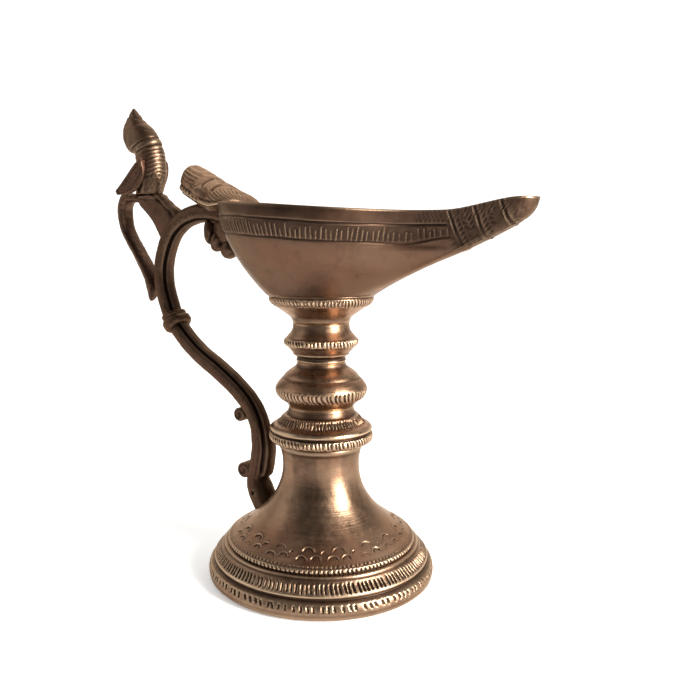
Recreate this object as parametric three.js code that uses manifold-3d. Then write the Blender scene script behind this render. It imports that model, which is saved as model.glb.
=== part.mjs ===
// Standing oil lamp in cast brass. A turned foot and stem carry a boat-shaped bowl with a long spout,
// and a scrolled handle behind the bowl carries a thumb crest and a bird.
// Millimetres, z up, +x towards the spout. The lamp mirrors itself across y = 0.

import * as THREE from "three";
import { mergeVertices } from "three/addons/utils/BufferGeometryUtils.js";
import Module from "manifold-3d";

const wasm = await Module();
wasm.setup();

// Clearance between pieces that are cut to fit each other, and round each pin.
const gap = 0.3;
const aroundTurned = 36;

// Foot: a stepped rim under a bell, hollow from below.
const footRadius = 35;
const footHeight = 41.7;
const footWall = 2.6;
const footRingWidth = 2;
const bellFoot = { inset: 8.4, height: 13.6 };
const bellNeck = { radius: 11.8, height: 34.5 };
const footSeatRadius = 12.9;
const footWebThickness = 5.2;

// Stem pieces, each turned with one widest ring.
const collarHeight = 11.3;
const collarRadius = 15.9;
const middleKnopHeight = 13.6;
const middleKnopRadius = 14;
const upperKnopHeight = 11.8;
const upperKnopRadius = 11.4;
const cupHeight = 8.5;
const lowerNeckRadius = 10;
const middleNeckRadius = 7.3;
const upperNeckRadius = 8.6;

// Bowl: round behind, drawn out to a spout in front.
const bowlFootRadius = 16.6;
const bowlRadius = 30.5;
const bowlDepth = 23.7;
const bowlWall = 2.1;
const bowlFloor = 3.2;
const rimBackLift = 3.2;
const rimSpoutLift = 2.9;
const spoutStart = 43;
const spoutTip = 65;
const spoutHalfWidth = 6.2;
const spoutWall = 1.6;
const bandCount = 3;
const bandPitch = 7.1;
const bandWidth = 1.1;
const bandProud = 0.45;

// Spigot under the bowl, which sits in the cup and takes the tie rod.
const spigotRadius = 6;
const spigotLength = 5.5;

// Tie rod, washer and nut, which clamp the foot, stem and bowl together.
const rodRadius = 3;
const rodBite = 6.2;
const rodTail = 1.8;
const washerRadius = 7;
const washerThickness = 1.2;
const nutAcrossFlats = 10;
const nutHeight = 5;

// Handle: a flat-sided bar with a groove along each side.
const handleWidth = 7;
const handleThickness = 6.2;
const handleSteps = 50;
const handleReach = 36.6;
const upperBud = { share: 0.2645, stand: 0.83, side: 1, radius: 2.1 };
const lowerBud = { share: 0.1123, stand: 0.66, side: 1, radius: 2.6 };
const innerBud = { share: 0.1545, stand: -0.25, side: -1, radius: 2.2 };
const collarPlace = 0.55;
const collarLength = 4.8;
const collarProud = 0.9;

// Thumb crest, bird and the small castings round them.
const crestSkirt = 1.8;
const bracketWidth = 5.8;
const tailWidth = 5.8;
const tailThickness = 3.6;
const wingThickness = 1.9;
const wingSpread = 4.6;
const dropWidth = 7.4;

// Rivets and dowels that hold the castings to each other.
const rivetRadius = 1.3;
const rivetHeadRadius = 2.4;
const rivetHeadHeight = 1.1;
const dowelRadius = 1.1;

// Heights of the seats, from the floor up.
const collarSeat = footHeight;
const middleKnopSeat = collarSeat + collarHeight;
const upperKnopSeat = middleKnopSeat + middleKnopHeight;
const cupSeat = upperKnopSeat + upperKnopHeight;
const bowlSeat = cupSeat + cupHeight;

const brass = { color: 0x9a7148, roughness: 0.34, metalness: 1 };
const darkBrass = { color: 0x6b4a30, roughness: 0.46, metalness: 1 };
const steel = { color: 0x8c8a86, roughness: 0.5, metalness: 1 };

const lamp = new THREE.Group();

function add(name, geometry, finish) {
  const mesh = new THREE.Mesh(geometry, new THREE.MeshStandardMaterial(finish));
  mesh.name = name;
  lamp.add(mesh);
  return mesh;
}

// A closed geometry as a solid, and back.
function solid(geometry) {
  const bare = geometry.clone();
  bare.deleteAttribute("normal");
  bare.deleteAttribute("uv");
  const merged = mergeVertices(bare, 1e-4);
  return new wasm.Manifold(
    new wasm.Mesh({
      numProp: 3,
      vertProperties: merged.attributes.position.array,
      triVerts: new Uint32Array(merged.index.array),
    }),
  );
}

function geometryOf(body) {
  const mesh = body.getMesh();
  const geometry = new THREE.BufferGeometry();
  geometry.setAttribute("position", new THREE.BufferAttribute(mesh.vertProperties, 3));
  geometry.setIndex(new THREE.BufferAttribute(mesh.triVerts, 1));
  geometry.computeVertexNormals();
  return geometry;
}

// A turned solid: a closed loop of [radius, height] about the z axis.
function turned(loop, segments = aroundTurned) {
  const points = [...loop, loop[0]].map(([r, z]) => new THREE.Vector2(r, z));
  return new THREE.LatheGeometry(points, segments).rotateX(Math.PI / 2);
}

// A piece of the stem, turned outside and bored for the tie rod.
function bored(outline, seat) {
  const bore = rodRadius + gap;
  const height = outline[outline.length - 1][1];
  const loop = [...outline, [bore, height], [bore, 0]];
  return turned(loop.map(([r, z]) => [r, z + seat]));
}

// A closed skin over rings that have equal counts of points, with a fan over each end.
function loft(rings) {
  const count = rings[0].length;
  const positions = rings.flat().flatMap((p) => [p.x, p.y, p.z]);
  const index = [];
  for (let i = 0; i + 1 < rings.length; i++) {
    for (let j = 0; j < count; j++) {
      const a = i * count + j;
      const b = i * count + ((j + 1) % count);
      index.push(a, b, b + count, a, b + count, a + count);
    }
  }
  for (const last of [false, true]) {
    const ring = last ? rings[rings.length - 1] : rings[0];
    const start = last ? (rings.length - 1) * count : 0;
    const middle = ring.reduce((sum, p) => sum.add(p), new THREE.Vector3()).divideScalar(count);
    const centre = positions.length / 3;
    positions.push(middle.x, middle.y, middle.z);
    for (let j = 0; j < count; j++) {
      const a = start + j;
      const b = start + ((j + 1) % count);
      index.push(...(last ? [a, b, centre] : [b, a, centre]));
    }
  }
  const geometry = new THREE.BufferGeometry();
  geometry.setAttribute("position", new THREE.Float32BufferAttribute(positions, 3));
  geometry.setIndex(index);
  return geometry;
}

// A ring square to a curve in the plane y = 0. A section point is [to the curve's left, across the lamp].
function ringAt(centre, along, section) {
  return section.map(([out, across]) =>
    new THREE.Vector3(centre.x - along.z * out, -across, centre.z + along.x * out),
  );
}

function sweptRings(curve, shares, section) {
  return shares.map((share, i) => ringAt(curve.getPointAt(share), curve.getTangentAt(share), section(share, i)));
}

const evenly = (steps) => Array.from({ length: steps + 1 }, (_, i) => i / steps);

function planeCurve(points) {
  return new THREE.CatmullRomCurve3(points.map(([x, z]) => new THREE.Vector3(x, 0, z)));
}

function ellipse(halfOut, halfAcross, count) {
  return Array.from({ length: count }, (_, k) => {
    const turn = (2 * Math.PI * k) / count;
    return [halfOut * Math.cos(turn), halfAcross * Math.sin(turn)];
  });
}

// A round pin between two points, with a domed head at its start when it is a rivet.
function pin(from, to, radius, head = 0) {
  const axis = to.clone().sub(from);
  const length = axis.length();
  const loop = head
    ? [[0, 0], [head * 0.55, rivetHeadHeight * 0.15], [head * 0.9, rivetHeadHeight * 0.6],
       [head, rivetHeadHeight], [radius, rivetHeadHeight], [radius, length], [0, length]]
    : [[0, 0], [radius, 0], [radius, length], [0, length]];
  const points = loop.map(([r, z]) => new THREE.Vector2(r, z));
  const geometry = new THREE.LatheGeometry(points, 16);
  const turn = new THREE.Quaternion().setFromUnitVectors(new THREE.Vector3(0, 1, 0), axis.normalize());
  return geometry.applyQuaternion(turn).translate(from.x, from.y, from.z);
}

// The handle and its castings are drawn for one reach, bowl depth and seat, and follow these sizes.
const stretch = handleReach / 36.6;
const lift = bowlDepth / 23.7;

// A point behind the bowl: distance behind its back, and height above its seat.
const back = (behind, above) => [-bowlRadius - behind * stretch, bowlSeat + above * lift];
const inPlane = ([x, z]) => new THREE.Vector3(x, 0, z);

// A point below the bowl: distance behind the turned axis, and height above the floor.
const below = (behind, height) => [-behind * stretch, (height * bowlSeat) / 86.9];

// Foot
const bellFootRadius = footRadius - bellFoot.inset;

// A point by the bell: distance in from the radius of its foot, and height above the floor.
const byBell = (inward, height) => [inward - bellFootRadius, (height * footHeight) / 41.7];

function bellCurve(inward, down) {
  const rise = bellNeck.height - bellFoot.height;
  const run = bellFootRadius - bellNeck.radius;
  const curve = new THREE.CubicBezierCurve(
    new THREE.Vector2(bellFootRadius - inward, bellFoot.height - down),
    new THREE.Vector2(bellFootRadius - 0.48 * run - inward, bellFoot.height + 0.22 * rise - down),
    new THREE.Vector2(bellNeck.radius - inward, bellFoot.height + 0.52 * rise - down),
    new THREE.Vector2(bellNeck.radius - inward, bellNeck.height - down),
  );
  return curve.getPoints(8).map((p) => [p.x, p.y]);
}

function footOutline() {
  const r = footRadius;
  return [
    [r - 1.6, 0], [r - 0.3, 0.9], [r, 2.2], [r - 0.1, 3.6], [r - 0.7, 4.9], [r - 1.9, 5.6],
    [r - 2.1, 6.1], [r - 1.9, 6.6], [r - 2.5, 7.3], [r - 4.4, 9.9], [r - 5.2, 10.9],
    [r - 6.2, 11.2], [r - 6.1, 12], [r - 6.9, 12.9],
    ...bellCurve(0, 0),
    [footSeatRadius - 0.6, footHeight - 2.4], [footSeatRadius, footHeight - 0.6],
    [footSeatRadius, footHeight],
  ];
}

function footGeometry() {
  const ceiling = footHeight - footWebThickness;
  const ringInside = footRadius - 1.6 - footRingWidth;
  const hollow = bellCurve(footWall, footWall * 0.8).reverse();
  const bore = rodRadius + gap;
  return turned([
    ...footOutline(),
    [bore, footHeight], [bore, ceiling], [hollow[0][0] - 0.4, ceiling],
    ...hollow,
    [ringInside - 2.6, bellFoot.height - 4.4], [ringInside, 4.6], [ringInside, 0],
  ]);
}

// Stem outlines: [radius, height above the seat].
const collarOutline = [
  [footSeatRadius + 0.6, 0], [collarRadius - 0.6, 0.5], [collarRadius, 1.5], [collarRadius, 2.9],
  [collarRadius - 0.8, 3.5], [collarRadius - 0.1, 4.1], [collarRadius - 0.4, 4.9],
  [collarRadius - 1.9, 5.8], [collarRadius - 4.9, 8.7], [lowerNeckRadius + 0.1, 9.3],
  [lowerNeckRadius, collarHeight],
];
const middleKnopOutline = [
  [lowerNeckRadius, 0], [lowerNeckRadius + 0.4, 0.6], [middleKnopRadius - 1.5, 2.4],
  [middleKnopRadius - 0.2, 4.2], [middleKnopRadius, 5.2], [middleKnopRadius - 0.3, 6.3],
  [middleKnopRadius - 1.6, 8.1], [middleKnopRadius - 2.4, 8.7], [middleKnopRadius - 2.6, 9.2],
  [middleKnopRadius - 5.1, 11.3], [middleNeckRadius + 0.3, 12.5], [middleNeckRadius, middleKnopHeight],
];
const upperKnopOutline = [
  [middleNeckRadius, 0], [middleNeckRadius + 0.1, 0.7], [middleNeckRadius + 1, 2],
  [upperKnopRadius - 1.8, 3.7], [upperKnopRadius - 0.9, 4.6], [upperKnopRadius, 5.4],
  [upperKnopRadius, 6.4], [upperKnopRadius - 0.9, 7.5], [upperNeckRadius + 0.7, 8.7],
  [upperNeckRadius, 10], [upperNeckRadius, upperKnopHeight],
];

function cupGeometry() {
  const rise = bowlFootRadius - upperNeckRadius;
  const socket = spigotRadius + gap;
  const floor = cupHeight - spigotLength - gap;
  const bore = rodRadius + gap;
  const loop = [
    [upperNeckRadius, 0], [upperNeckRadius + 0.1 * rise, 1.7], [upperNeckRadius + 0.27 * rise, 2.6],
    [upperNeckRadius + 0.6 * rise, 4.6], [upperNeckRadius + 0.85 * rise, 6.5],
    [upperNeckRadius + 0.93 * rise, 7.6], [bowlFootRadius, cupHeight],
    [socket, cupHeight], [socket, floor], [bore, floor], [bore, 0],
  ];
  return turned(loop.map(([r, z]) => [r, z + cupSeat]));
}

// Bowl. Level 0 is its foot and level 1 its rim.
const softLimit = (x) => x / Math.pow(1 + Math.pow(x, 12), 1 / 12);

function bowlRadiusAt(level) {
  return bowlFootRadius + (bowlRadius - bowlFootRadius) * (1 - Math.pow(1 - level, 1.8));
}

function keelReach(level) {
  return bowlFootRadius + (spoutTip - bowlFootRadius) * softLimit(level + 0.67 * Math.pow(level, 4));
}

function prowHalfWidth(level) {
  return bowlFootRadius * Math.pow(1 - level, 6) + spoutHalfWidth * Math.pow(level, 1.3);
}

function rimHeight(x) {
  const behind = THREE.MathUtils.smoothstep(-x, 7 - spoutStart, bowlRadius - 5);
  const ahead = THREE.MathUtils.smoothstep(x, spoutStart - 1.5, spoutTip - 1);
  return bowlSeat + bowlDepth + rimBackLift * behind + rimSpoutLift * ahead;
}

// Half of the outline at a level, from the back to the keel, moved outwards by grow. Low down the
// sides run straight to the keel, and higher up they are drawn in to the spout.
function halfOutline(level, grow) {
  const radius = bowlRadiusAt(level) + grow;
  const reach = keelReach(level) + (grow < 0 ? -spoutWall : grow);
  const half = Math.max(1, prowHalfWidth(level) + (grow < 0 ? -spoutWall : grow));
  const drawnIn = THREE.MathUtils.smoothstep(level, 0.25, 0.62);
  const straight = Math.acos(
    THREE.MathUtils.clamp((radius - half + 0.00084) / (reach - half + 0.001), 0, 0.95),
  );
  const draw = (reach - radius) / (spoutTip - bowlRadius);
  const waisted = Math.acos(0.5 * THREE.MathUtils.clamp(draw, 0, 1));
  const leave = THREE.MathUtils.lerp(straight, waisted, drawnIn);
  const land = THREE.MathUtils.lerp(straight, Math.PI / 2, drawnIn);
  const from = new THREE.Vector2(radius * Math.cos(leave), radius * Math.sin(leave));
  const run = Math.max(0, reach - half - Math.max(from.x, spoutStart)) * drawnIn;
  const to = new THREE.Vector2(reach - half - run + half * Math.cos(land), half * Math.sin(land));
  const ease = 0.4 * from.distanceTo(to);
  const flank = new THREE.CubicBezierCurve(
    from,
    new THREE.Vector2(from.x + ease * Math.sin(leave), from.y - ease * Math.cos(leave)),
    new THREE.Vector2(to.x - ease * Math.sin(land), to.y + ease * Math.cos(land)),
    to,
  );
  const points = [];
  for (let i = 0; i < 10; i++) {
    const turn = Math.PI + ((leave - Math.PI) * i) / 10;
    points.push([radius * Math.cos(turn), radius * Math.sin(turn)]);
  }
  for (let i = 0; i < 7; i++) {
    const p = flank.getPoint(i / 7);
    points.push([p.x, p.y]);
  }
  for (let i = 0; i < 3; i++) {
    points.push([to.x + (run * i) / 3, to.y]);
  }
  for (let i = 0; i <= 4; i++) {
    const turn = land * (1 - i / 4);
    points.push([reach - half + half * Math.cos(turn), half * Math.sin(turn)]);
  }
  return points;
}

function levelRing(level, grow, heightAt) {
  const half = halfOutline(level, grow);
  const other = half.slice(1, -1).map(([x, y]) => [x, -y]).reverse();
  return [...half, ...other].map(([x, y]) => new THREE.Vector3(x, y, heightAt(x))).reverse();
}

const outerLevels = [0, 0.06, 0.14, 0.24, 0.36, 0.5, 0.64, 0.78, 0.9, 1];
const innerLevels = [0, 0.08, 0.2, 0.34, 0.5, 0.68, 0.85, 1];

function bowlSkin(levels, grow, floor, over) {
  const rings = levels.map((level) =>
    levelRing(level, grow, (x) => bowlSeat + floor + (rimHeight(x) - bowlSeat - floor) * level),
  );
  rings.push(levelRing(1, grow, (x) => rimHeight(x) + over));
  return solid(loft(rings));
}

// Everything above the rim: a block with the rim's line along its underside.
function aboveRim(lift) {
  const from = -bowlRadius - 6;
  const length = spoutTip + 6 - from;
  const line = evenly(36).map((share) => from + share * length);
  const high = bowlSeat + 2 * bowlDepth;
  const shape = new THREE.Shape([
    ...line.map((x) => new THREE.Vector2(x, rimHeight(x) + lift)),
    new THREE.Vector2(from + length, high),
    new THREE.Vector2(from, high),
  ]);
  const block = new THREE.ExtrudeGeometry(shape, { depth: 3 * bowlRadius, bevelEnabled: false });
  return solid(block.rotateX(Math.PI / 2).translate(0, 1.5 * bowlRadius, 0));
}

const boxAt = (width, depth, height, x, y, z) =>
  solid(new THREE.BoxGeometry(width, depth, height).translate(x, y, z));

function bowlSolid() {
  let body = bowlSkin(outerLevels, 0, 0, 3);
  const thick = bowlSkin(outerLevels, bandProud, 0, 3);
  for (let i = 0; i < bandCount; i++) {
    const slab = boxAt(bandWidth, bowlRadius, bowlDepth * 3, spoutStart + 0.4 + i * bandPitch, 0, bowlSeat);
    body = body.add(thick.intersect(slab));
  }
  const spigot = turned([
    [rodRadius + gap, bowlSeat - spigotLength], [spigotRadius, bowlSeat - spigotLength],
    [spigotRadius, bowlSeat + 1], [rodRadius + gap, bowlSeat + 1],
  ]);
  const blindHole = new THREE.CylinderGeometry(rodRadius + gap, rodRadius + gap, rodBite + gap, aroundTurned)
    .rotateX(Math.PI / 2)
    .translate(0, 0, bowlSeat - spigotLength + (rodBite + gap) / 2);
  return body
    .add(solid(spigot))
    .subtract(bowlSkin(innerLevels, -bowlWall, bowlFloor, 5))
    .subtract(aboveRim(0))
    .subtract(solid(blindHole));
}

// Handle, from the bell of the foot up to the back of the bowl.
const handleCurve = planeCurve([
  byBell(9.1, 11.5), byBell(4.2, 18), below(25.3, 24.5), below(24.2, 31), below(23.5, 37),
  below(24.6, 44), below(28.3, 50), below(34, 54.8), below(41, 59.3),
  back(20.5, -22), back(27.4, -16.5), back(31.8, -11.5), back(34.9, -5), back(36.6, 1.1),
  back(36.6, 7.1), back(34.7, 13.1), back(31.4, 18.6), back(26.3, 22.6), back(20.2, 24.6), back(14.2, 24.8),
  back(8.1, 23.7), back(3.1, 22.4), back(-3, 21.1),
]);

// The cutter, which is the bar with a clearance round it, has no groove.
function handleSection(grow) {
  const t = handleThickness / 2;
  const b = handleWidth / 2;
  const groove = grow > 0 ? 0.96 : 0.64;
  const side = [
    [t, 0.6 * b], [0.68 * t, b], [-0.12 * t, b], [-0.32 * t, groove * b],
    [-0.54 * t, 0.88 * b], [-0.86 * t, 0.76 * b], [-t, 0.34 * b],
  ].map(([out, across]) => [out + grow * Math.sign(out), across + grow]);
  const mirrored = side.map(([out, across]) => [out, -across]).reverse();
  return [...side, ...mirrored];
}

function handleBar(grow) {
  return solid(loft(sweptRings(handleCurve, evenly(handleSteps), () => handleSection(grow))));
}

// A curl on the bar, at a share of its length. Its centre stands out of the bar by a share of its radius.
function bud({ share, stand, side, radius }) {
  const out = side * (handleThickness / 2 + stand * radius);
  const centre = ringAt(handleCurve.getPointAt(share), handleCurve.getTangentAt(share), [[out, 0]])[0];
  const curl = new THREE.CylinderGeometry(radius, radius, handleWidth * 0.86, 14);
  return solid(curl.translate(centre.x, 0, centre.z));
}

// Collar: two rounded beads round the handle.
function collarSolid() {
  const beads = [0.4, 1, 1, 0.35, 0.25, 0.6, 0.6, 0.2];
  const share = collarLength / handleCurve.getLength();
  const shares = beads.map((_, i) => collarPlace + share * (i / (beads.length - 1) - 0.5));
  const soft = (value) => Math.sign(value) * Math.pow(Math.abs(value), 0.7);
  const section = (_, i) => ellipse(1, 1, 24).map(([out, across]) => [
    soft(out) * (handleThickness / 2 + 0.5 + beads[i] * collarProud),
    soft(across) * (handleWidth / 2 + 0.7 + beads[i] * collarProud),
  ]);
  return solid(loft(sweptRings(handleCurve, shares, section)));
}

// Thumb crest: domed sections across the lamp, from over the rim up to the rounded end.
const crestStations = [
  { at: back(-2, 27.9), edge: 27.6, half: 5, skirt: 0.2 },
  { at: back(-0.6, 29.3), edge: 27.5, half: 7.6, skirt: 0.2 },
  { at: back(1.6, 30.9), edge: 27.1, half: 9.6, skirt: 0.4 },
  { at: back(5.6, 32.8), edge: 26.7, half: 10.5, skirt: crestSkirt },
  { at: back(10.6, 35.1), edge: 28.4, half: 10.4, skirt: crestSkirt },
  { at: back(14.9, 37.7), edge: 30.4, half: 9.9, skirt: crestSkirt },
  { at: back(17.8, 39.3), edge: 31.6, half: 9, skirt: crestSkirt },
  { at: back(20.4, 40.6), edge: 32.4, half: 7.2, skirt: crestSkirt },
  { at: back(22.7, 39.8), edge: 32.8, half: 5, skirt: crestSkirt },
  { at: back(24.6, 38.2), edge: 33, half: 2.8, skirt: crestSkirt },
  { at: back(25.7, 36.6), edge: 33.3, half: 0.8, skirt: crestSkirt * 0.7 },
];

function crestRing({ at: [x, top], edge, half, skirt }) {
  const low = bowlSeat + edge * lift;
  const over = 8;
  const ring = [];
  for (let i = 0; i <= over; i++) {
    const turn = Math.PI * (i / over - 0.5);
    const rise = (top - low) * Math.pow(Math.cos(turn), 0.85);
    ring.push(new THREE.Vector3(x, half * stretch * Math.sin(turn), low + rise));
  }
  for (const share of [0.9, 0.35, -0.35, -0.9]) {
    const high = low - skirt + (1 - Math.abs(share)) * 0.6;
    ring.push(new THREE.Vector3(x, half * stretch * share, high));
  }
  return ring;
}

// Bird: sections across its spine, a little more level than square, from the bracket to the hood's point.
const uprightShare = 0.6;
const spine = [
  { at: back(42.9, 31.9), out: 4.9, across: 4 },
  { at: back(42.3, 34.6), out: 5.1, across: 4.4 },
  { at: back(41.8, 37.6), out: 5.2, across: 4.7 },
  { at: back(41.8, 41.2), out: 5.3, across: 4.8 },
  { at: back(42.3, 44.6), out: 5.5, across: 4.8 },
  { at: back(44.2, 48), out: 6, across: 4.8 },
  { at: back(47, 51.2), out: 6.5, across: 4.7 },
  { at: back(48.8, 54.2), out: 5.8, across: 4 },
  { at: back(49.5, 57.4), out: 3.7, across: 2.7 },
  { at: back(49.8, 60.1), out: 1.6, across: 1.3 },
  { at: back(49.9, 61.6), out: 0.5, across: 0.5 },
];

function birdRings(grow) {
  return spine.map(({ at, out, across }, i) => {
    const before = inPlane(spine[Math.max(0, i - 1)].at);
    const after = inPlane(spine[Math.min(spine.length - 1, i + 1)].at);
    const rise = new THREE.Vector3(0, 0, uprightShare);
    const along = i === 0 ? rise.normalize() : after.sub(before).normalize().add(rise).normalize();
    return ringAt(inPlane(at), along, ellipse(out * stretch + grow, across * stretch + grow, 14));
  });
}

// A flat casting in the plane of the lamp: an outline of [x, z] with rounded edges.
function plate(outline, width, edge, y) {
  const shape = new THREE.Shape(outline.map(([x, z]) => new THREE.Vector2(x, z)));
  const settings = { depth: width - 2 * edge, bevelThickness: edge, bevelSize: edge, bevelOffset: -edge };
  return new THREE.ExtrudeGeometry(shape, { ...settings, bevelSegments: 2, curveSegments: 6 })
    .rotateX(Math.PI / 2)
    .translate(0, y + width / 2 - edge, 0);
}

function smooth(points, steps) {
  const curve = new THREE.SplineCurve(points.map(([x, z]) => new THREE.Vector2(x, z)));
  return curve.getPoints(steps).map((p) => [p.x, p.y]);
}

function closedSmooth(points, steps) {
  const curve = new THREE.CatmullRomCurve3(points.map(([x, z]) => new THREE.Vector3(x, z, 0)), true);
  return curve.getPoints(steps).slice(0, -1).map((p) => [p.x, p.y]);
}

const bracketOutline = [
  ...smooth([
    back(47, 31.4), back(46.7, 29.1), back(43.1, 25.4), back(40.5, 22.5), back(38.3, 19.1), back(36.4, 15.5),
  ], 8),
  back(32.4, 17.6), back(26.3, 24.1),
  ...smooth([back(29, 26.6), back(31.9, 27.9), back(33.9, 29.8), back(36.1, 31.2), back(38.6, 31.6)], 6),
];

const wingOutline = closedSmooth([
  back(40.7, 43.4), back(43.6, 42.3), back(47.2, 39.4), back(51, 36), back(53.7, 33.4),
  back(53, 32), back(47.8, 32.7), back(43.4, 34.5), back(41.1, 37.1), back(40.1, 40),
], 24);

// Tail: a flat strap from behind the bracket, down along the handle to a free point.
const tailCurve = planeCurve([
  back(47.9, 29.1), back(50.9, 30.1), back(54.3, 29.6), back(56.3, 26.9), back(56.4, 23.2),
  back(55.1, 19.6), back(53, 16.2), back(50.5, 12.8), back(48.1, 9.4), back(45.6, 6),
  back(43.5, 2.8), back(42.6, -0.2), back(42.8, -2.8), back(43.8, -5.6),
]);

// The side that lies on the handle is thickened, and cut to fit it.
function tailSection(share) {
  const taper = 1 - THREE.MathUtils.smoothstep(share, 0.84, 1) * 0.86;
  const half = tailThickness / 2 + 0.3 * (1 - THREE.MathUtils.smoothstep(share, 0.2, 0.5));
  const pad = 1 + 0.8 * THREE.MathUtils.smoothstep(share, 0.6, 0.74);
  return ellipse(half * taper, (tailWidth / 2) * Math.min(1, taper + 0.1), 12).map(([out, across]) => [
    out > 0 ? out * pad : out,
    across,
  ]);
}

// Drop: a leaf of three lobes between the handle's upper end and the back of the bowl.
const dropLobes = [
  { at: back(13.4, 18.7), radius: 3.1 },
  { at: back(9.8, 15.6), radius: 3 },
  { at: back(5.2, 13), radius: 2.9 },
];

function dropSolid() {
  const root = [back(15.8, 21.1), back(14.9, 16.5), back(2, 9.6), back(-7.1, 9.7), back(-7, 21.2)];
  let body = solid(plate(root, dropWidth * 0.8, 0.6, 0));
  for (const { at: [x, z], radius } of dropLobes) {
    const size = radius * stretch;
    const lobe = new THREE.SphereGeometry(1, 12, 8).scale(size, dropWidth / 2, size);
    body = body.add(solid(lobe.translate(x, 0, z)));
  }
  return body;
}

// Where each rivet and dowel runs, from its head or lower end.
const footRivet = { from: inPlane(byBell(7.2, 13.6)), to: inPlane(byBell(2.2, 21.8)) };
const bowlRivet = { from: inPlane(back(-2.9, 21.8)), to: inPlane(back(6.6, 22.9)) };
const dropRivet = { from: inPlane(back(-5.2, 17.6)), to: inPlane(back(8, 14.1)) };
const crestDowel = { from: inPlane(back(10.6, 22.1)), to: inPlane(back(10.7, 32.3)) };
const birdDowel = { from: inPlane(back(40.6, 27.1)), to: inPlane(back(41.2, 37.6)) };
const bracketDowel = { from: inPlane(back(32.9, 18.4)), to: inPlane(back(37.9, 25.2)) };

const hole = ({ from, to }, radius) => {
  const past = to.clone().sub(from).setLength(gap);
  return solid(pin(from.clone().sub(past), to.clone().add(past), radius + gap));
};
const rivetHole = (rivet) => {
  const deep = rivet.to.clone().sub(rivet.from).setLength(rivetHeadHeight + gap);
  const head = solid(pin(rivet.from.clone().sub(deep), rivet.from.clone().add(deep), rivetHeadRadius + gap));
  return hole(rivet, rivetRadius).add(head);
};

// Assembly
const footBody = solid(footGeometry());
const bellCut = solid(turned([
  [0, -1],
  ...footOutline().map(([r, z]) => [r + gap, z + (z > bellFoot.height ? 0.1 : 0)]),
  [0, footHeight + gap],
]));
const bowlBody = bowlSolid();
const bowlCut = bowlSkin(outerLevels, gap, 0, 3).subtract(aboveRim(gap));
const barCut = handleBar(gap);
const collarBody = collarSolid();

add("base_foot", geometryOf(footBody.subtract(rivetHole(footRivet))), brass);
add("stem_collar", bored(collarOutline, collarSeat), brass);
add("stem_knop_middle", bored(middleKnopOutline, middleKnopSeat), brass);
add("stem_knop_upper", bored(upperKnopOutline, upperKnopSeat), brass);
add("bowl_cup", cupGeometry(), brass);
add("bowl", geometryOf(bowlBody
  .subtract(rivetHole(bowlRivet))
  .subtract(rivetHole(dropRivet))), brass);

const ceiling = footHeight - footWebThickness;
const rodBottom = ceiling - washerThickness - nutHeight - rodTail;
const rodTop = bowlSeat - spigotLength + rodBite;
const rodLoop = [[0, rodBottom], [rodRadius, rodBottom], [rodRadius, rodTop], [0, rodTop]];
add("tie_rod", turned(rodLoop, 24), steel);
const bore = rodRadius + gap;
add("tie_washer", turned([
  [washerRadius, ceiling - washerThickness], [washerRadius, ceiling],
  [bore, ceiling], [bore, ceiling - washerThickness],
]), steel);
const nutTop = ceiling - washerThickness;
const nutCorner = nutAcrossFlats / Math.sqrt(3);
const nutBlank = new THREE.CylinderGeometry(nutCorner, nutCorner, nutHeight, 6)
  .rotateX(Math.PI / 2)
  .translate(0, 0, nutTop - nutHeight / 2);
const nutBore = new THREE.CylinderGeometry(bore, bore, nutHeight + 2, 24)
  .rotateX(Math.PI / 2)
  .translate(0, 0, nutTop - nutHeight / 2);
add("tie_nut", geometryOf(solid(nutBlank).subtract(solid(nutBore))), steel);

add("handle_scroll", geometryOf(handleBar(0)
  .add(bud(upperBud))
  .add(bud(lowerBud))
  .add(bud(innerBud))
  .subtract(bellCut)
  .subtract(bowlCut)
  .subtract(hole(footRivet, rivetRadius))
  .subtract(hole(bowlRivet, rivetRadius))
  .subtract(hole(crestDowel, dowelRadius))
  .subtract(hole(bracketDowel, dowelRadius))), darkBrass);
add("handle_collar", geometryOf(collarBody.subtract(barCut)), darkBrass);
add("handle_drop", geometryOf(dropSolid()
  .subtract(barCut)
  .subtract(bowlCut)
  .subtract(hole(dropRivet, rivetRadius))), darkBrass);
add("thumb_crest", geometryOf(solid(loft(crestStations.map(crestRing)))
  .subtract(barCut)
  .subtract(bowlCut)
  .subtract(hole(crestDowel, dowelRadius))), brass);
add("bird_bracket", geometryOf(solid(plate(bracketOutline, bracketWidth, 0.7, 0))
  .subtract(barCut)
  .subtract(hole(birdDowel, dowelRadius))
  .subtract(hole(bracketDowel, dowelRadius))), darkBrass);
add("bird_body", geometryOf(solid(loft(birdRings(0))).subtract(hole(birdDowel, dowelRadius))), darkBrass);
const birdCut = solid(loft(birdRings(gap)));
for (const [name, side] of [["bird_wing_left", 1], ["bird_wing_right", -1]]) {
  const wing = plate(wingOutline, wingThickness, 0.5, side * (wingSpread + wingThickness / 2));
  add(name, geometryOf(solid(wing).subtract(birdCut)), darkBrass);
}
const tail = solid(loft(sweptRings(tailCurve, evenly(30), tailSection)));
add("bird_tail", geometryOf(tail.subtract(barCut)), darkBrass);

add("handle_foot_rivet", pin(footRivet.from, footRivet.to, rivetRadius, rivetHeadRadius), brass);
add("handle_bowl_rivet", pin(bowlRivet.from, bowlRivet.to, rivetRadius, rivetHeadRadius), brass);
add("drop_rivet", pin(dropRivet.from, dropRivet.to, rivetRadius, rivetHeadRadius), brass);
add("crest_dowel", pin(crestDowel.from, crestDowel.to, dowelRadius), brass);
add("bird_dowel", pin(birdDowel.from, birdDowel.to, dowelRadius), brass);
add("bracket_dowel", pin(bracketDowel.from, bracketDowel.to, dowelRadius), brass);

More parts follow.
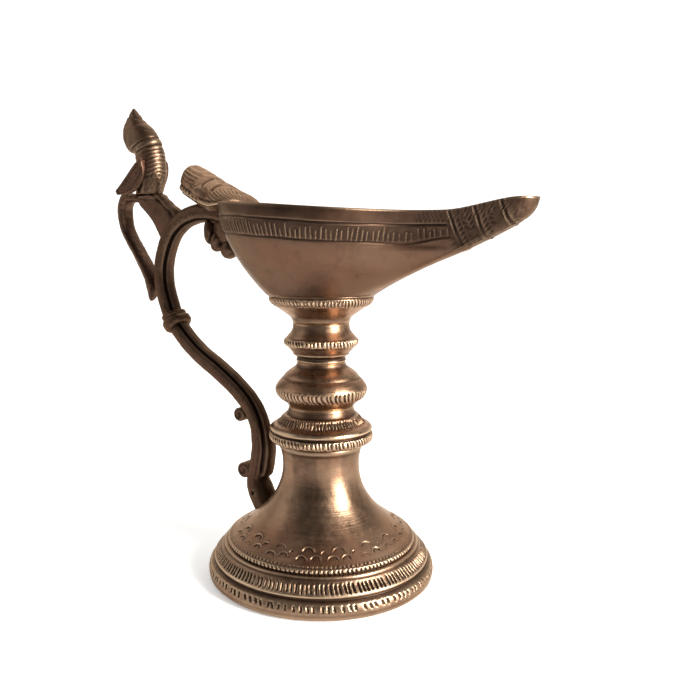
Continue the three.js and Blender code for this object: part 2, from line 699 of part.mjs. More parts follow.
// The origin lies on the floor, under the middle of the lamp's length.
const extent = new THREE.Box3().setFromObject(lamp, true);
lamp.position.x = -(extent.min.x + extent.max.x) / 2;

export default new THREE.Group().add(lamp);
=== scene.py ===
# Standing brass oil lamp. Lengths are millimetres until a mesh is made, then metres.
# The lamp's own coordinates have the turned axis at x = 0, +x towards the spout.
# Numbers in the relief functions are millimetres, degrees or shares of a pattern's step.
import math

import bpy
import numpy as np
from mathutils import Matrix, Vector

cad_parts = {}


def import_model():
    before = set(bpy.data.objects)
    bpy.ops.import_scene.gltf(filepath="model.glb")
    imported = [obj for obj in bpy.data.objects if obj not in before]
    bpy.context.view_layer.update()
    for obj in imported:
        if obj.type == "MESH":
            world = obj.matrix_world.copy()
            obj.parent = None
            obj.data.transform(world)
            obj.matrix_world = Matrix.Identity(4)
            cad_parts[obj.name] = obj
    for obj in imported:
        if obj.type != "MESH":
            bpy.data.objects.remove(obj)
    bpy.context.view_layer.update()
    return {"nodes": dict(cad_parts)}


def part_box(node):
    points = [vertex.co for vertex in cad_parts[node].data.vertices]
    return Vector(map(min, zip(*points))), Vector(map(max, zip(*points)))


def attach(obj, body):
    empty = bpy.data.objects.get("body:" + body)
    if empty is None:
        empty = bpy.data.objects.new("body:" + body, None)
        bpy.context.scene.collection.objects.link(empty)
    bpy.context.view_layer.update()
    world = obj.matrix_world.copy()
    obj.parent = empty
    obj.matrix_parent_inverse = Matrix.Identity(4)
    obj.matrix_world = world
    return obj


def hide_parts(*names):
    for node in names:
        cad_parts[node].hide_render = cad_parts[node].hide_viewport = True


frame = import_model()

MM = 0.001
TAU = 2 * math.pi
COLLAR_LOW, COLLAR_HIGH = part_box("stem_collar")
AXIS_X = (COLLAR_LOW.x + COLLAR_HIGH.x) / 2 / MM

# Heights of the seats, and the main radii.
FOOT_HEIGHT = 41.7
MIDDLE_SEAT = 53.0
UPPER_SEAT = 66.6
CUP_SEAT = 78.4
BOWL_SEAT = 86.9
BORE = 3.3
BOWL_FOOT_RADIUS = 16.6
BOWL_RADIUS = 30.5
BOWL_DEPTH = 23.7
BACK_RISE = 3.2
TIP_RISE = 2.9
BOWL_WALL = 2.1
BOWL_FLOOR = 3.2
SPOUT_START = 43.0
SPOUT_TIP = 65.0
SPOUT_HALF_WIDTH = 6.2
SPOUT_WALL = 1.6
KEEL_ROUNDING = 7
KEEL_FIT = 1.0037


# ---- numbers

def rising(x, low, high):
    """0 up to low, rising smoothly to 1 at high."""
    t = np.clip((np.asarray(x, float) - low) / (high - low), 0, 1)
    return t * t * (3 - 2 * t)


def falling(x, low, high):
    """1 up to low, falling smoothly to 0 at high."""
    return 1 - rising(x, low, high)


def within(x, low, high, soft):
    """1 between low and high, falling to 0 over soft beyond each."""
    return rising(x, low - soft, low) * falling(x, high, high + soft)


def bell(x, width):
    """A bump at 0: 1 in the middle, 0.37 at width."""
    return np.exp(-np.square(np.asarray(x, float) / width))


def to_whole(x):
    """The distance from the nearest whole number."""
    return x - np.round(x)


def unit(vectors):
    return vectors / np.linalg.norm(vectors, axis=-1, keepdims=True)


def hashed(n, seed):
    """A fixed number from 0 to 1 for each whole number."""
    v = np.sin(np.asarray(n, float) * 12.9898 + seed * 78.233) * 43758.5453
    return v - np.floor(v)


def wander(x, seed, period=None):
    """Smooth noise along a line, from -1 to 1."""
    x = np.asarray(x, float)
    whole = np.floor(x)
    part = rising(x - whole, 0, 1)
    a, b = whole, whole + 1
    if period:
        a, b = a % period, b % period
    return 2 * (hashed(a, seed) * (1 - part) + hashed(b, seed) * part) - 1


def lumps(u, v, seed):
    """Smooth noise over a plane, from -1 to 1."""
    row = np.floor(v)
    part = rising(v - row, 0, 1)
    low = wander(u + 17.3 * row, seed)
    high = wander(u + 17.3 * (row + 1), seed)
    return low * (1 - part) + high * part


def through(points, per):
    """A smooth line through points (centripetal Catmull-Rom)."""
    p = np.asarray(points, float)
    if len(p) == 2:
        return p[0] + (p[1] - p[0]) * np.linspace(0, 1, per + 1)[:, None]
    gap = np.sqrt(np.linalg.norm(np.diff(p, axis=0), axis=1))[:, None]
    speed = np.diff(p, axis=0) / gap
    inner = (speed[1:] * gap[:-1] + speed[:-1] * gap[1:]) / (gap[:-1] + gap[1:])
    slope = np.vstack([speed[:1], inner, speed[-1:]])
    t = np.linspace(0, 1, per, endpoint=False)[:, None]
    out = []
    for i in range(len(p) - 1):
        h = gap[i]
        out.append((2 * t**3 - 3 * t**2 + 1) * p[i] + (t**3 - 2 * t**2 + t) * h * slope[i]
                   + (3 * t**2 - 2 * t**3) * p[i + 1] + (t**3 - t**2) * h * slope[i + 1])
    return np.vstack(out + [p[-1:]])


def bezier(a, b, c, d, count):
    """count points of a cubic curve from a to d."""
    t = np.linspace(0, 1, count)[:, None]
    return (1 - t)**3 * a + 3 * t * (1 - t)**2 * b + 3 * t * t * (1 - t) * c + t**3 * d


def taken(path, measure, marks):
    """The points of a path where measure, a number for each of its points, reaches each mark."""
    return np.column_stack([np.interp(marks, measure, path[:, k]) for k in range(path.shape[1])])


def added_up(steps):
    """The way from the start to each point of a path with these steps."""
    return np.concatenate([[0], np.cumsum(steps)])


def spaced(path, step_at):
    """Points along a path, as far apart as step_at says at each point of it."""
    weight = added_up(np.linalg.norm(np.diff(path, axis=0), axis=1) / step_at(path[:-1]))
    return taken(path, weight, np.linspace(0, weight[-1], int(math.ceil(weight[-1])) + 1))


def evenly_along(path, count):
    """count points at equal distances along a path."""
    length = added_up(np.linalg.norm(np.diff(path, axis=0), axis=1))
    return taken(path, length, np.linspace(0, length[-1], count))


def drawn(points, per, count):
    """A smooth line through points, taken at count equal steps."""
    return evenly_along(through(points, per), count)


# ---- meshes

# How the surroundings of a point are smoothed, to see how deep it lies in them.
SMOOTHING_LENGTH = 0.22
SMOOTHING_PASSES = 12
SMOOTHING_SHARE = 0.25
AGED_PASSES = 24
AGED_PER_MM = 9


def placed(name, data):
    """A new object in the scene."""
    made = bpy.data.objects.new(name, data)
    bpy.context.scene.collection.objects.link(made)
    return made


def normals_of(rings, closed):
    """The outward normal at each point of a grid of rings, and 1, or -1 where its faces run the other
    way round. closed: the last ring joins the first."""
    around = np.roll(rings, -1, axis=1) - np.roll(rings, 1, axis=1)
    if closed:
        along = np.roll(rings, -1, axis=0) - np.roll(rings, 1, axis=0)
    else:
        along = np.gradient(rings, axis=0)
    n = np.cross(around, along)
    sense = np.sign(np.sum((rings - rings.mean(axis=(0, 1))) * n))
    return sense * n / np.maximum(np.linalg.norm(n, axis=2, keepdims=True), 1e-12), sense


def hollowness(rings, normals, closed):
    """How far each point lies under its smoothed surroundings, in mm: above 0 in recesses."""
    soft = rings.copy()
    for _ in range(SMOOTHING_PASSES):
        for axis in (0, 1):
            after = np.roll(soft, -1, axis=axis) - soft
            gap = np.maximum(np.linalg.norm(after, axis=2, keepdims=True), 1e-6)
            flow = after * np.minimum(SMOOTHING_SHARE, SMOOTHING_SHARE * SMOOTHING_LENGTH**2 / gap**2)
            if axis == 0 and not closed:
                flow[-1] = 0
            soft = soft + flow - np.roll(flow, 1, axis=axis)
    return np.einsum("ijk,ijk->ij", soft - rings, normals)


def spread(values, closed):
    """Values of a grid, averaged with their neighbours again and again."""
    for _ in range(AGED_PASSES):
        up, down = np.roll(values, 1, axis=0), np.roll(values, -1, axis=0)
        if not closed:
            up[0], down[-1] = values[0], values[-1]
        values = (values * 2 + up + down + np.roll(values, 1, axis=1) + np.roll(values, -1, axis=1)) / 6
    return values


def grid_object(name, rings, looks, slot="brass", closed=False, relief=None, keep=None, patina_and_painted_shade=None):
    """A closed mesh over a grid of rings, (rings, points, 3) in lamp millimetres. It stands for the
    node of its own name, where there is one.

    relief moves each point out along its normal. keep is a last change to the points. Every point
    gets "hollow", its recess in mm, and a second value, how much patina and painted shade lie over it:
    the patina grid from 0 to 1 (on the foot and the bowl it holds painted shade too), and more patina where
    the surface is closely worked."""
    nodes = [name] if name in frame["nodes"] else []
    normals, sense = normals_of(rings, closed)
    if relief is not None:
        rings = rings + normals * relief[:, :, None]
        normals, _ = normals_of(rings, closed)
    hollow = hollowness(rings, normals, closed)
    aged_and_painted_shade = np.clip(spread(np.abs(hollow), closed) * AGED_PER_MM, 0, 1)
    if patina_and_painted_shade is not None:
        aged_and_painted_shade = np.clip(aged_and_painted_shade + patina_and_painted_shade, 0, 1)
    if keep is not None:
        rings = keep(rings)
    count, size, _ = rings.shape
    points = rings.reshape(-1, 3)
    hollow, aged_and_painted_shade = hollow.reshape(-1), aged_and_painted_shade.reshape(-1)
    i, j = np.indices((count if closed else count - 1, size))
    k, m = (i + 1) % count, (j + 1) % size
    faces = np.stack([i * size + j, i * size + m, k * size + m, k * size + j], -1).reshape(-1, 4).tolist()
    if not closed:
        for ring in (0, count - 1):
            a = ring * size + np.arange(size)
            b = np.roll(a, -1)
            fan = (b, a) if ring == 0 else (a, b)
            faces += np.stack([*fan, np.full(size, len(points))], -1).tolist()
            points = np.vstack([points, rings[ring].mean(axis=0)])
            hollow, aged_and_painted_shade = np.append(hollow, hollow[a].mean()), np.append(aged_and_painted_shade, aged_and_painted_shade[a].mean())
    if sense < 0:
        faces = [f[::-1] for f in faces]
    name = name + "_cast"
    mesh = bpy.data.meshes.new(name)
    mesh.from_pydata(((points + [AXIS_X, 0, 0]) * MM).tolist(), [], faces)
    for label, values in (("hollow", hollow), ("aged_and_painted_shade", aged_and_painted_shade)):
        layer = mesh.attributes.new(label, "FLOAT", "POINT")
        layer.data.foreach_set("value", values.astype(np.float32))
    mesh.shade_smooth()
    mesh.materials.append(looks)
    obj = placed(name, mesh)
    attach(obj, "root")
    if nodes:
        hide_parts(*nodes)


# ---- materials

EDGE_TINT = (0.85, 0.7, 0.58)
COAT_ROUGHNESS = 0.3
CLOUD_HEIGHT = 0.12


def feed(node, *inputs):
    """Links or sets inputs of a node, each given as a socket and an output, colour or number."""
    for socket, value in inputs:
        if isinstance(value, bpy.types.NodeSocket):
            node.id_data.links.new(value, node.inputs[socket])
        else:
            node.inputs[socket].default_value = (*value, 1) if isinstance(value, tuple) else value
    return node


def new_material(name, *inputs):
    """A material, a function that adds nodes to it, and its shader with inputs fed."""
    made = bpy.data.materials.new(name)
    made.use_nodes = True

    def node(kind, *inputs, **settings):
        fresh = made.node_tree.nodes.new(kind)
        for key, value in settings.items():
            setattr(fresh, key, value)
        return feed(fresh, *inputs)

    return made, node, feed(made.node_tree.nodes["Principled BSDF"], *inputs)


def metal(name, worn, body, deep, tint, rough, grain, age, turned_marks=0.0, coat=0.3):
    """Cast brass. worn is the rubbed edge, body the open surface, deep the patina in recesses and the
    colour of painted shade, tint a second body colour in clouds. grain is the height of the cast texture,
    age how blotchy, turned_marks the height of the fine level lines that turning leaves, and coat how oily
    it looks."""
    material, node, shader = new_material(name, ("Metallic", 1.0), ("Coat Weight", coat),
                                          ("Coat Roughness", COAT_ROUGHNESS), ("Specular Tint", EDGE_TINT))

    def noise(scale, detail, roughness, *stretch):
        mapping = node("ShaderNodeMapping", ("Vector", place.outputs["Object"]))
        mapping.inputs["Scale"].default_value = stretch or (1, 1, 1)
        return node("ShaderNodeTexNoise", ("Vector", mapping.outputs["Vector"]), ("Scale", scale),
                    ("Detail", detail), ("Roughness", roughness)).outputs["Fac"]

    def grey(value, *stops):
        """value through a ramp of two stops, each a place and a brightness."""
        made = node("ShaderNodeValToRGB", ("Fac", value))
        for element, (at, bright) in zip(made.color_ramp.elements, stops):
            element.position = at
            element.color = (bright, bright, bright, 1)
        return made.outputs["Color"]

    def mixed(share, a, b):
        return node("ShaderNodeMix", (0, share), (6, a), (7, b), data_type="RGBA").outputs[2]

    def maths(kind, a, b):
        return node("ShaderNodeMath", (0, a), (1, b), operation=kind).outputs[0]

    def bump(height, distance, *under):
        return node("ShaderNodeBump", ("Strength", 1.0), ("Distance", distance * MM), ("Height", height),
                    *[("Normal", normal) for normal in under]).outputs["Normal"]

    place = node("ShaderNodeTexCoord")
    recess = node("ShaderNodeAttribute", attribute_name="hollow").outputs["Fac"]
    aged_and_painted_shade = node("ShaderNodeAttribute", attribute_name="aged_and_painted_shade").outputs["Fac"]
    clouds = noise(55, 4, 0.6)
    blotches = noise(190, 5, 0.65)
    specks = noise(900, 3, 0.7)
    scuffs = noise(420, 4, 0.7, 1, 1, 0.25)
    marks = noise(110, 3, 0.75, 0.35, 0.35, 14)

    # Recesses hold patina, broken up by the specks. Edges that stand out are rubbed bright.
    dirt = maths("ADD", recess, maths("MULTIPLY", maths("SUBTRACT", blotches, 0.5), 0.05))
    # This darkens with the patina value of each point: on the foot and the bowl that value also holds
    # painted shade and painted dark reflections.
    film_and_painted_shade = maths("MULTIPLY", aged_and_painted_shade, maths("ADD", 0.35, maths("MULTIPLY", blotches, 0.8)))
    edge = maths("MULTIPLY", recess, -1.0)
    colour = body
    for mask, start, full, share, over in (
            (clouds, 0.42, 0.66, age, tint), (blotches, 0.5, 0.75, 0.45 * age, deep),
            (film_and_painted_shade, 0.05, 0.75, 0.75, deep), (dirt, 0.008, 0.1, 0.95, deep),
            (edge, 0.035, 0.17, 0.85, worn), (specks, 0.66, 0.8, 0.5, deep)):
        colour = mixed(grey(mask, (start, 0), (full, share)), colour, over)

    matt = maths("ADD", grey(scuffs, (0.3, rough - 0.07), (0.75, rough + 0.1)),
                 grey(dirt, (0.01, 0), (0.15, 0.25)))
    skin = bump(maths("ADD", maths("MULTIPLY", specks, 0.6), blotches), grain)
    skin = bump(clouds, CLOUD_HEIGHT, skin)
    if turned_marks:
        matt = maths("ADD", matt, grey(marks, (0.3, 0), (0.75, 0.1)))
        skin = bump(marks, turned_marks, skin)
    feed(shader, ("Base Color", colour), ("Roughness", matt), ("Normal", skin))
    return material


BRASS = metal("brass", worn=(0.5, 0.36, 0.24), body=(0.23, 0.145, 0.093), deep=(0.03, 0.016, 0.009),
              tint=(0.205, 0.099, 0.056), rough=0.3, grain=0.05, age=0.75, turned_marks=0.07, coat=0.15)
# The stem's brass: a lighter copy of the foot's brass. Its lighter body and rubbed colour are painted
# light, for the brighter light the stem catches; its lower roughness and thicker coat make it shinier.
STEM_BRASS_PAINTED_LIGHTER = metal("stem_brass_painted_lighter", worn=(0.54, 0.39, 0.26), body=(0.265, 0.165, 0.105),
                   deep=(0.03, 0.016, 0.009), tint=(0.235, 0.112, 0.062), rough=0.27, grain=0.08, age=0.75,
                   turned_marks=0.06, coat=0.18)
BOWL_BRASS = metal("bowl_brass", worn=(0.25, 0.165, 0.108), body=(0.112, 0.064, 0.041),
                   deep=(0.02, 0.011, 0.007), tint=(0.115, 0.053, 0.032), rough=0.33, grain=0.035, age=0.7,
                   turned_marks=0.012, coat=0.12)
CREST_BRASS = metal("crest_brass", worn=(0.4, 0.28, 0.18), body=(0.22, 0.137, 0.087),
                    deep=(0.06, 0.034, 0.021), tint=(0.21, 0.113, 0.066), rough=0.42, grain=0.06, age=0.75,
                    coat=0.08)
BIRD_BRASS = metal("bird_brass", worn=(0.36, 0.27, 0.18), body=(0.112, 0.068, 0.043),
                   deep=(0.024, 0.014, 0.009), tint=(0.12, 0.061, 0.04), rough=0.4, grain=0.07, age=0.85,
                   coat=0.1)
WEB_BRASS = metal("web_brass", worn=(0.17, 0.105, 0.07), body=(0.1, 0.06, 0.04), deep=(0.024, 0.013, 0.009),
                  tint=(0.105, 0.05, 0.034), rough=0.5, grain=0.1, age=0.9, coat=0.05)
DARK_BRASS = metal("dark_brass", worn=(0.15, 0.094, 0.062), body=(0.092, 0.052, 0.032),
                   deep=(0.018, 0.01, 0.006), tint=(0.09, 0.043, 0.029), rough=0.48, grain=0.14, age=0.9,
                   coat=0.05)
STEEL = metal("steel", worn=(0.6, 0.58, 0.55), body=(0.42, 0.4, 0.38), deep=(0.09, 0.06, 0.045),
              tint=(0.34, 0.27, 0.21), rough=0.42, grain=0.03, age=0.6)


def casting(name, rings, looks=DARK_BRASS, **more):
    """A rough casting of the handle."""
    grid_object(name, rings, looks, slot="dark_brass", **more)


# ---- turned pieces

WIDEST_STEP = 0.9
WOBBLE = 0.05


def turned(name, outline, inside, fine, relief, count, looks, film_and_painted_shade=None):
    """A turned piece. outline is a list of smooth parts of [radius, height], meeting at corners: each
    starts where the one before ends. inside is the bore, corner to corner. fine has the heights cut
    with ornament and the step there, and the tarnish grid, which on the foot also holds painted shade and
    painted dark reflections."""
    def step_at(path):
        close = np.zeros(len(path))
        for low, high, step in fine:
            close = np.maximum(close, within(path[:, 1], low, high, 0.4) / step)
        return 1 / np.maximum(close, 1 / WIDEST_STEP)

    outline = [[*before[-1:], *part] for before, part in zip([[]] + outline, outline)]
    outside = [spaced(through(part, 40), step_at) for part in outline]
    outside = np.vstack([part[:-1] for part in outside] + [outside[-1][-1:]])
    bore = np.vstack([through(inside[i:i + 2], 3)[:-1] for i in range(len(inside) - 1)] + [inside[-1:]])
    loop = np.vstack([outside, bore])
    turn = TAU * np.arange(count) / count
    rings = np.stack([loop[:, :1] * np.cos(turn), loop[:, :1] * np.sin(turn),
                      np.repeat(loop[:, 1:], count, axis=1)], -1)
    lift = np.zeros(rings.shape[:2])
    lift[:len(outside)] = relief(turn, outside[:, :1], outside[:, 1:])
    patina_and_painted_shade = film_and_painted_shade(turn, loop[:, 1:]) if film_and_painted_shade else None
    grid_object(name, rings, looks, closed=True, relief=lift, patina_and_painted_shade=patina_and_painted_shade)


def strokes(turn, z, count, low, high, width, lean, seed, ragged):
    """Chisel strokes round a turned piece, 0 to 1. width is a share of their spacing."""
    middle = (low + high) / 2
    place = turn / TAU * count + lean * (z - middle) / (high - low)
    nearest = np.round(place)
    which = nearest % count
    shift = (hashed(which, seed) - 0.5) * ragged
    tilt = (hashed(which, seed + 1) - 0.5) * ragged * (z - middle) / (high - low)
    away = np.abs(place - nearest - shift - tilt)
    top = high - (high - low) * 0.25 * ragged * hashed(which, seed + 2)
    bottom = low + (high - low) * 0.25 * ragged * hashed(which, seed + 3)
    deep = 0.75 + 0.25 * hashed(which, seed + 4)
    soft = 0.18 * (high - low)
    return np.clip(1 - away / (width / 2), 0, 1)**0.5 * within(z, bottom + soft, top - soft, soft) * deep


def wobble(turn, z, seed):
    """The unevenness of a hand-turned surface."""
    around = turn / TAU
    return WOBBLE * (wander(around * 14, seed, 14) + 0.5 * wander(z * 0.35, seed + 3)
                     + 0.7 * wander(around * 26 + 0.35 * z, seed + 6, 26))


# Each chased band of the foot: depth, count, lowest and highest, width, lean, seed, raggedness.
FOOT_BANDS = ((0.45, 112, 3.0, 4.9, 0.42, 0.2, 11, 0.5), (0.55, 150, 7.0, 9.6, 0.52, 0.35, 23, 0.35),
              (0.4, 134, 11.0, 12.4, 0.5, 0.1, 31, 0.25), (0.24, 134, 12.55, 13.2, 0.5, 0, 37, 0.25))
# Each punched arc of a cluster: place across, height of its base, half width and height.
ARCS = ((-2.1, 13.8, 1.7, 1.0), (1.9, 13.9, 1.6, 1.05), (-0.1, 15.4, 1.9, 1.1), (4.4, 14.9, 1.2, 0.8))
ARC_CLUSTERS = 17


def foot_relief(turn, r, z):
    """Bands of chisel strokes on the rim, and small punched arcs over the foot of the bell."""
    cut = sum(deep * strokes(turn, z, *band) for deep, *band in FOOT_BANDS)
    place = turn / TAU * ARC_CLUSTERS
    own = np.round(place) % ARC_CLUSTERS
    across = to_whole(place) * TAU / ARC_CLUSTERS * r + 0.9 * (hashed(own, 41) - 0.5)
    arcs = np.zeros(np.broadcast(turn, z).shape)
    for i, (dx, base, half, tall) in enumerate(ARCS):
        x = (across - dx - 0.5 * (hashed(own, 43 + i) - 0.5)) / half
        y = (z - base - 0.4 * (hashed(own, 53 + i) - 0.5)) / tall
        radius = np.hypot(x, y)
        ridges = (0.2 * bell(radius - 1.0, 0.14) - 0.28 * bell(radius - 0.74, 0.13)
                  - 0.1 * bell(radius - 0.35, 0.13))
        arcs += (0.25 + 0.85 * hashed(own, 59 + i)) * rising(y, 0.0, 0.35) * ridges
    return arcs * within(z, 13.4, 18.2, 0.15) - cut + wobble(turn, z, 5) * rising(z, 17, 22)


def bell_curve(inset, down, count):
    """The bell of the foot, from its foot to its neck, moved in and down."""
    foot, neck = (26.6, 13.6), (11.8, 34.5)
    rise, run = neck[1] - foot[1], foot[0] - neck[0]
    low, high = (foot[0] - 0.48 * run, foot[1] + 0.22 * rise), (neck[0], foot[1] + 0.52 * rise)
    return bezier(*np.array([foot, low, high, neck]), count) - [inset, down]


BELL = bell_curve(inset=0, down=0, count=60)
HOLLOW_BELL = bell_curve(inset=2.6, down=2.1, count=9)[::-1]
FOOT_OUTLINE = [
    [(33.4, 0), (34.7, 0.8), (35, 2.1), (34.93, 3.5), (34.4, 4.8), (33.5, 5.4)],
    [(32.85, 5.7), (32.8, 6.0), (33.15, 6.3)],
    [(33.25, 6.75), (32.85, 7.3), (31.6, 8.6), (30.6, 9.9)],
    [(30.2, 10.2), (29.95, 10.75), (29.4, 10.95), (28.75, 11.0)],
    [(29.0, 11.5), (28.85, 12.2), (28.3, 12.6)],
    [(28.0, 12.95), (27.5, 13.2), *BELL[1::4], (11.85, 36.5), (12.15, 38.3), (12.45, 39.7)],
    [(12.9, 40.4), (12.9, 41.4)],
]
FOOT_INSIDE = [(12.7, FOOT_HEIGHT), (BORE, FOOT_HEIGHT), (BORE, 36.5), (9.0, 36.5), *HOLLOW_BELL,
               (28.8, 9.2), (31.4, 4.6), (31.4, 0)]
FOOT_FINE = [(2.8, 5.4, 0.28), (6.5, 10.2, 0.3), (10.7, 13.2, 0.2), (13.3, 18.8, 0.24)]
# The side of the bell that faces the camera, in degrees round the axis: the painted dark reflections on the
# bell are set round from it.
NEAR_SIDE = 305


def foot_tarnish_and_painted_shade(turn, z):
    """Darkening of the bell: tarnish clouds, two dark streaks on the near side that are painted dark
    reflections, and a band of painted shadow just under the collar.
    """
    azimuth = (np.degrees(turn) - NEAR_SIDE + 180) % 360 - 180 + 6 * wander(z * 0.2, 61)
    # Painted dark reflections: two dark streaks on the side of the bell that faces the camera.
    painted_dark_reflection = within(azimuth, -37, -7, 9) + 0.9 * within(azimuth, 37, 78, 7)
    painted_dark_reflection = painted_dark_reflection * within(z, 22, 46, 6)
    clouds = 0.5 + 0.5 * wander(turn / TAU * 9 + 0.05 * z, 63, 9)
    # The clouds are tarnish; the rise from 43 to 47 mm is painted shadow under the collar.
    return np.clip(0.42 * painted_dark_reflection + 0.3 * clouds * rising(z, 16, 24) + 0.3 * rising(z, 43, 47), 0, 1)


turned("base_foot", FOOT_OUTLINE, FOOT_INSIDE, FOOT_FINE, foot_relief, 1080, BRASS, film_and_painted_shade=foot_tarnish_and_painted_shade)


def crossed(turn, z, depth, count, low, high, width, lean, seed, bow=0):
    """Chisel strokes that now and then meet their neighbour: two sets with opposite leans."""
    turn = turn + bow * np.sin(math.pi * np.clip((z - low) / (high - low), 0, 1))
    one = strokes(turn, z, count, low, high, width, lean, seed, 0.4)
    two = strokes(turn, z, count, low, high, width * 0.8, -lean, seed + 5, 0.4)
    picked = rising(wander(turn / TAU * 9, seed + 9, 9), -0.15, 0.3)
    return depth * np.maximum(one, two * picked)


def stem_piece(name, seat, outline, fine, bands, count):
    """A stem piece from an outline of parts of [radius, height above the seat]. Each of its bands is
    the numbers of crossed strokes."""
    def relief(turn, r, z):
        return wobble(turn, z, seat) - sum(crossed(turn, z - seat, *band) for band in bands)

    lifted = [[(r, z + seat) for r, z in part] for part in outline]
    fine = [(low + seat, high + seat, step) for low, high, step in fine]
    turned(name, lifted, [(BORE, lifted[-1][-1][1]), (BORE, seat)], fine, relief, count, STEM_BRASS_PAINTED_LIGHTER)


stem_piece("stem_collar", FOOT_HEIGHT, [
    [(13.5, 0.05), (14.9, 0.35), (15.75, 1.15), (15.95, 2.1), (15.7, 3.0), (15.2, 3.35)],
    [(15.1, 3.6), (15.45, 3.85)],
    [(15.8, 4.3), (15.6, 4.85), (14.7, 5.5), (14.0, 5.85)],
    [(13.6, 6.0), (12.4, 7.3), (11.3, 8.5)],
    [(10.7, 8.75), (10.35, 9.3), (10.0, 10.2), (10.0, 11.25)],
], [(0.4, 3.6, 0.2), (5.6, 8.8, 0.2)],
    [(0.4, 82, 0.6, 3.3, 0.62, 0.45, 51), (0.34, 78, 5.9, 8.5, 0.58, 0.6, 57)], 720)
stem_piece("stem_knop_middle", MIDDLE_SEAT, [
    [(10.0, 0.05), (10.3, 0.6), (11.6, 1.75), (12.5, 2.35)],
    [(13.4, 3.3), (13.9, 4.4), (14.0, 5.3), (13.75, 6.2), (12.9, 7.5), (12.2, 8.3)],
    [(11.75, 8.6), (11.55, 8.95)],
    [(11.2, 9.5), (9.9, 10.7), (8.6, 11.6)],
    [(7.75, 12.2), (7.5, 12.8), (7.35, 13.55)],
], [(2.1, 6.0, 0.2), (8.1, 9.2, 0.25)], [(0.45, 62, 2.2, 5.9, 0.6, 0.55, 61, 0.035)], 640)
stem_piece("stem_knop_upper", UPPER_SEAT, [
    [(7.3, 0.05), (7.6, 0.35), (7.4, 0.75)],
    [(7.5, 1.35), (8.1, 1.9)],
    [(8.6, 2.2), (8.6, 2.6)],
    [(9.4, 3.5), (10.1, 4.3), (10.5, 4.7)],
    [(11.2, 5.2), (11.4, 5.95), (11.15, 6.8), (10.5, 7.3)],
    [(9.9, 8.1), (9.2, 8.9), (8.75, 9.7), (8.6, 10.6), (8.6, 11.75)],
], [(0, 2.9, 0.25), (4.5, 7.5, 0.2)], [(0.42, 60, 4.7, 7.2, 0.62, 0.4, 67)], 560)
stem_piece("bowl_cup", CUP_SEAT, [
    [(8.6, 0.05), (8.75, 0.8), (9.4, 1.8), (10.9, 2.9), (13.2, 4.5), (14.5, 5.3)],
    [(15.2, 5.9), (15.75, 6.8), (15.8, 7.5)],
    [(15.7, 7.8), (16.0, 8.1), (16.35, 8.4)],
], [(4.9, 8.4, 0.2)], [(0.38, 88, 5.1, 7.7, 0.6, 0.6, 71)], 720)


# ---- bowl

def bowl_radius(level):
    """The round back of the bowl at a level, from 0 at its foot to 1 at its rim."""
    return BOWL_FOOT_RADIUS + (BOWL_RADIUS - BOWL_FOOT_RADIUS) * (1 - (1 - level)**1.8)


def keel_reach(level):
    """How far the keel of the spout reaches at a level."""
    x = level + 0.67 * level**4
    room = (SPOUT_TIP - BOWL_FOOT_RADIUS) * KEEL_FIT
    return BOWL_FOOT_RADIUS + room * x / (1 + x**KEEL_ROUNDING)**(1 / KEEL_ROUNDING)


def prow_half_width(level):
    """Half the width of the spout at a level."""
    return BOWL_FOOT_RADIUS * (1 - level)**6 + SPOUT_HALF_WIDTH * level**1.3


def rim_height(x):
    """The height of the rim, which rises a little to the back and to the tip of the spout."""
    behind = rising(-np.asarray(x), 7 - SPOUT_START, BOWL_RADIUS - 5)
    ahead = rising(x, SPOUT_START - 1.5, SPOUT_TIP - 1)
    return BOWL_SEAT + BOWL_DEPTH + BACK_RISE * behind + TIP_RISE * ahead


def bowl_outline(level, grow, count):
    """The outline at a level, all the way round from the back, count points."""
    wall = -SPOUT_WALL if grow < 0 else grow
    radius = bowl_radius(level) + grow
    reach = keel_reach(level) + wall
    half = max(1, prow_half_width(level) + wall)
    drawn_in = float(rising(level, 0.25, 0.62))
    straight = math.acos(min(max((radius - half + 0.00084) / (reach - half + 0.001), 0), 0.95))
    draw = min(max((reach - radius) / (SPOUT_TIP - BOWL_RADIUS), 0), 1)
    leave = straight + (math.acos(0.5 * draw) - straight) * drawn_in
    land = straight + (math.pi / 2 - straight) * drawn_in
    start = np.array([radius * math.cos(leave), radius * math.sin(leave)])
    run = max(0, reach - half - max(start[0], SPOUT_START)) * drawn_in
    end = np.array([reach - half - run + half * math.cos(land), half * math.sin(land)])
    ease = 0.4 * np.linalg.norm(end - start)
    a = start + ease * np.array([math.sin(leave), -math.cos(leave)])
    b = end - ease * np.array([math.sin(land), -math.cos(land)])
    flank = bezier(start, a, b, end, 60)
    turn = np.linspace(math.pi, leave, 120)[:-1, None]
    back = radius * np.hstack([np.cos(turn), np.sin(turn)])
    turn = np.linspace(land, 0, 40)[:, None]
    nose = [reach - half, 0] + half * np.hstack([np.cos(turn), np.sin(turn)])
    path = evenly_along(np.vstack([back, flank, nose]), count // 2 + 1)
    return np.vstack([path, path[-2:0:-1] * [1, -1]])


# The spigot under the bowl: shares of the foot's radius, and depths under its seat.
SPIGOT = ((0.02, 5.5), (0.2, 5.5), (0.36, 5.5), (0.361, 0.05), (0.7, 0.05), (0.985, 0.05))


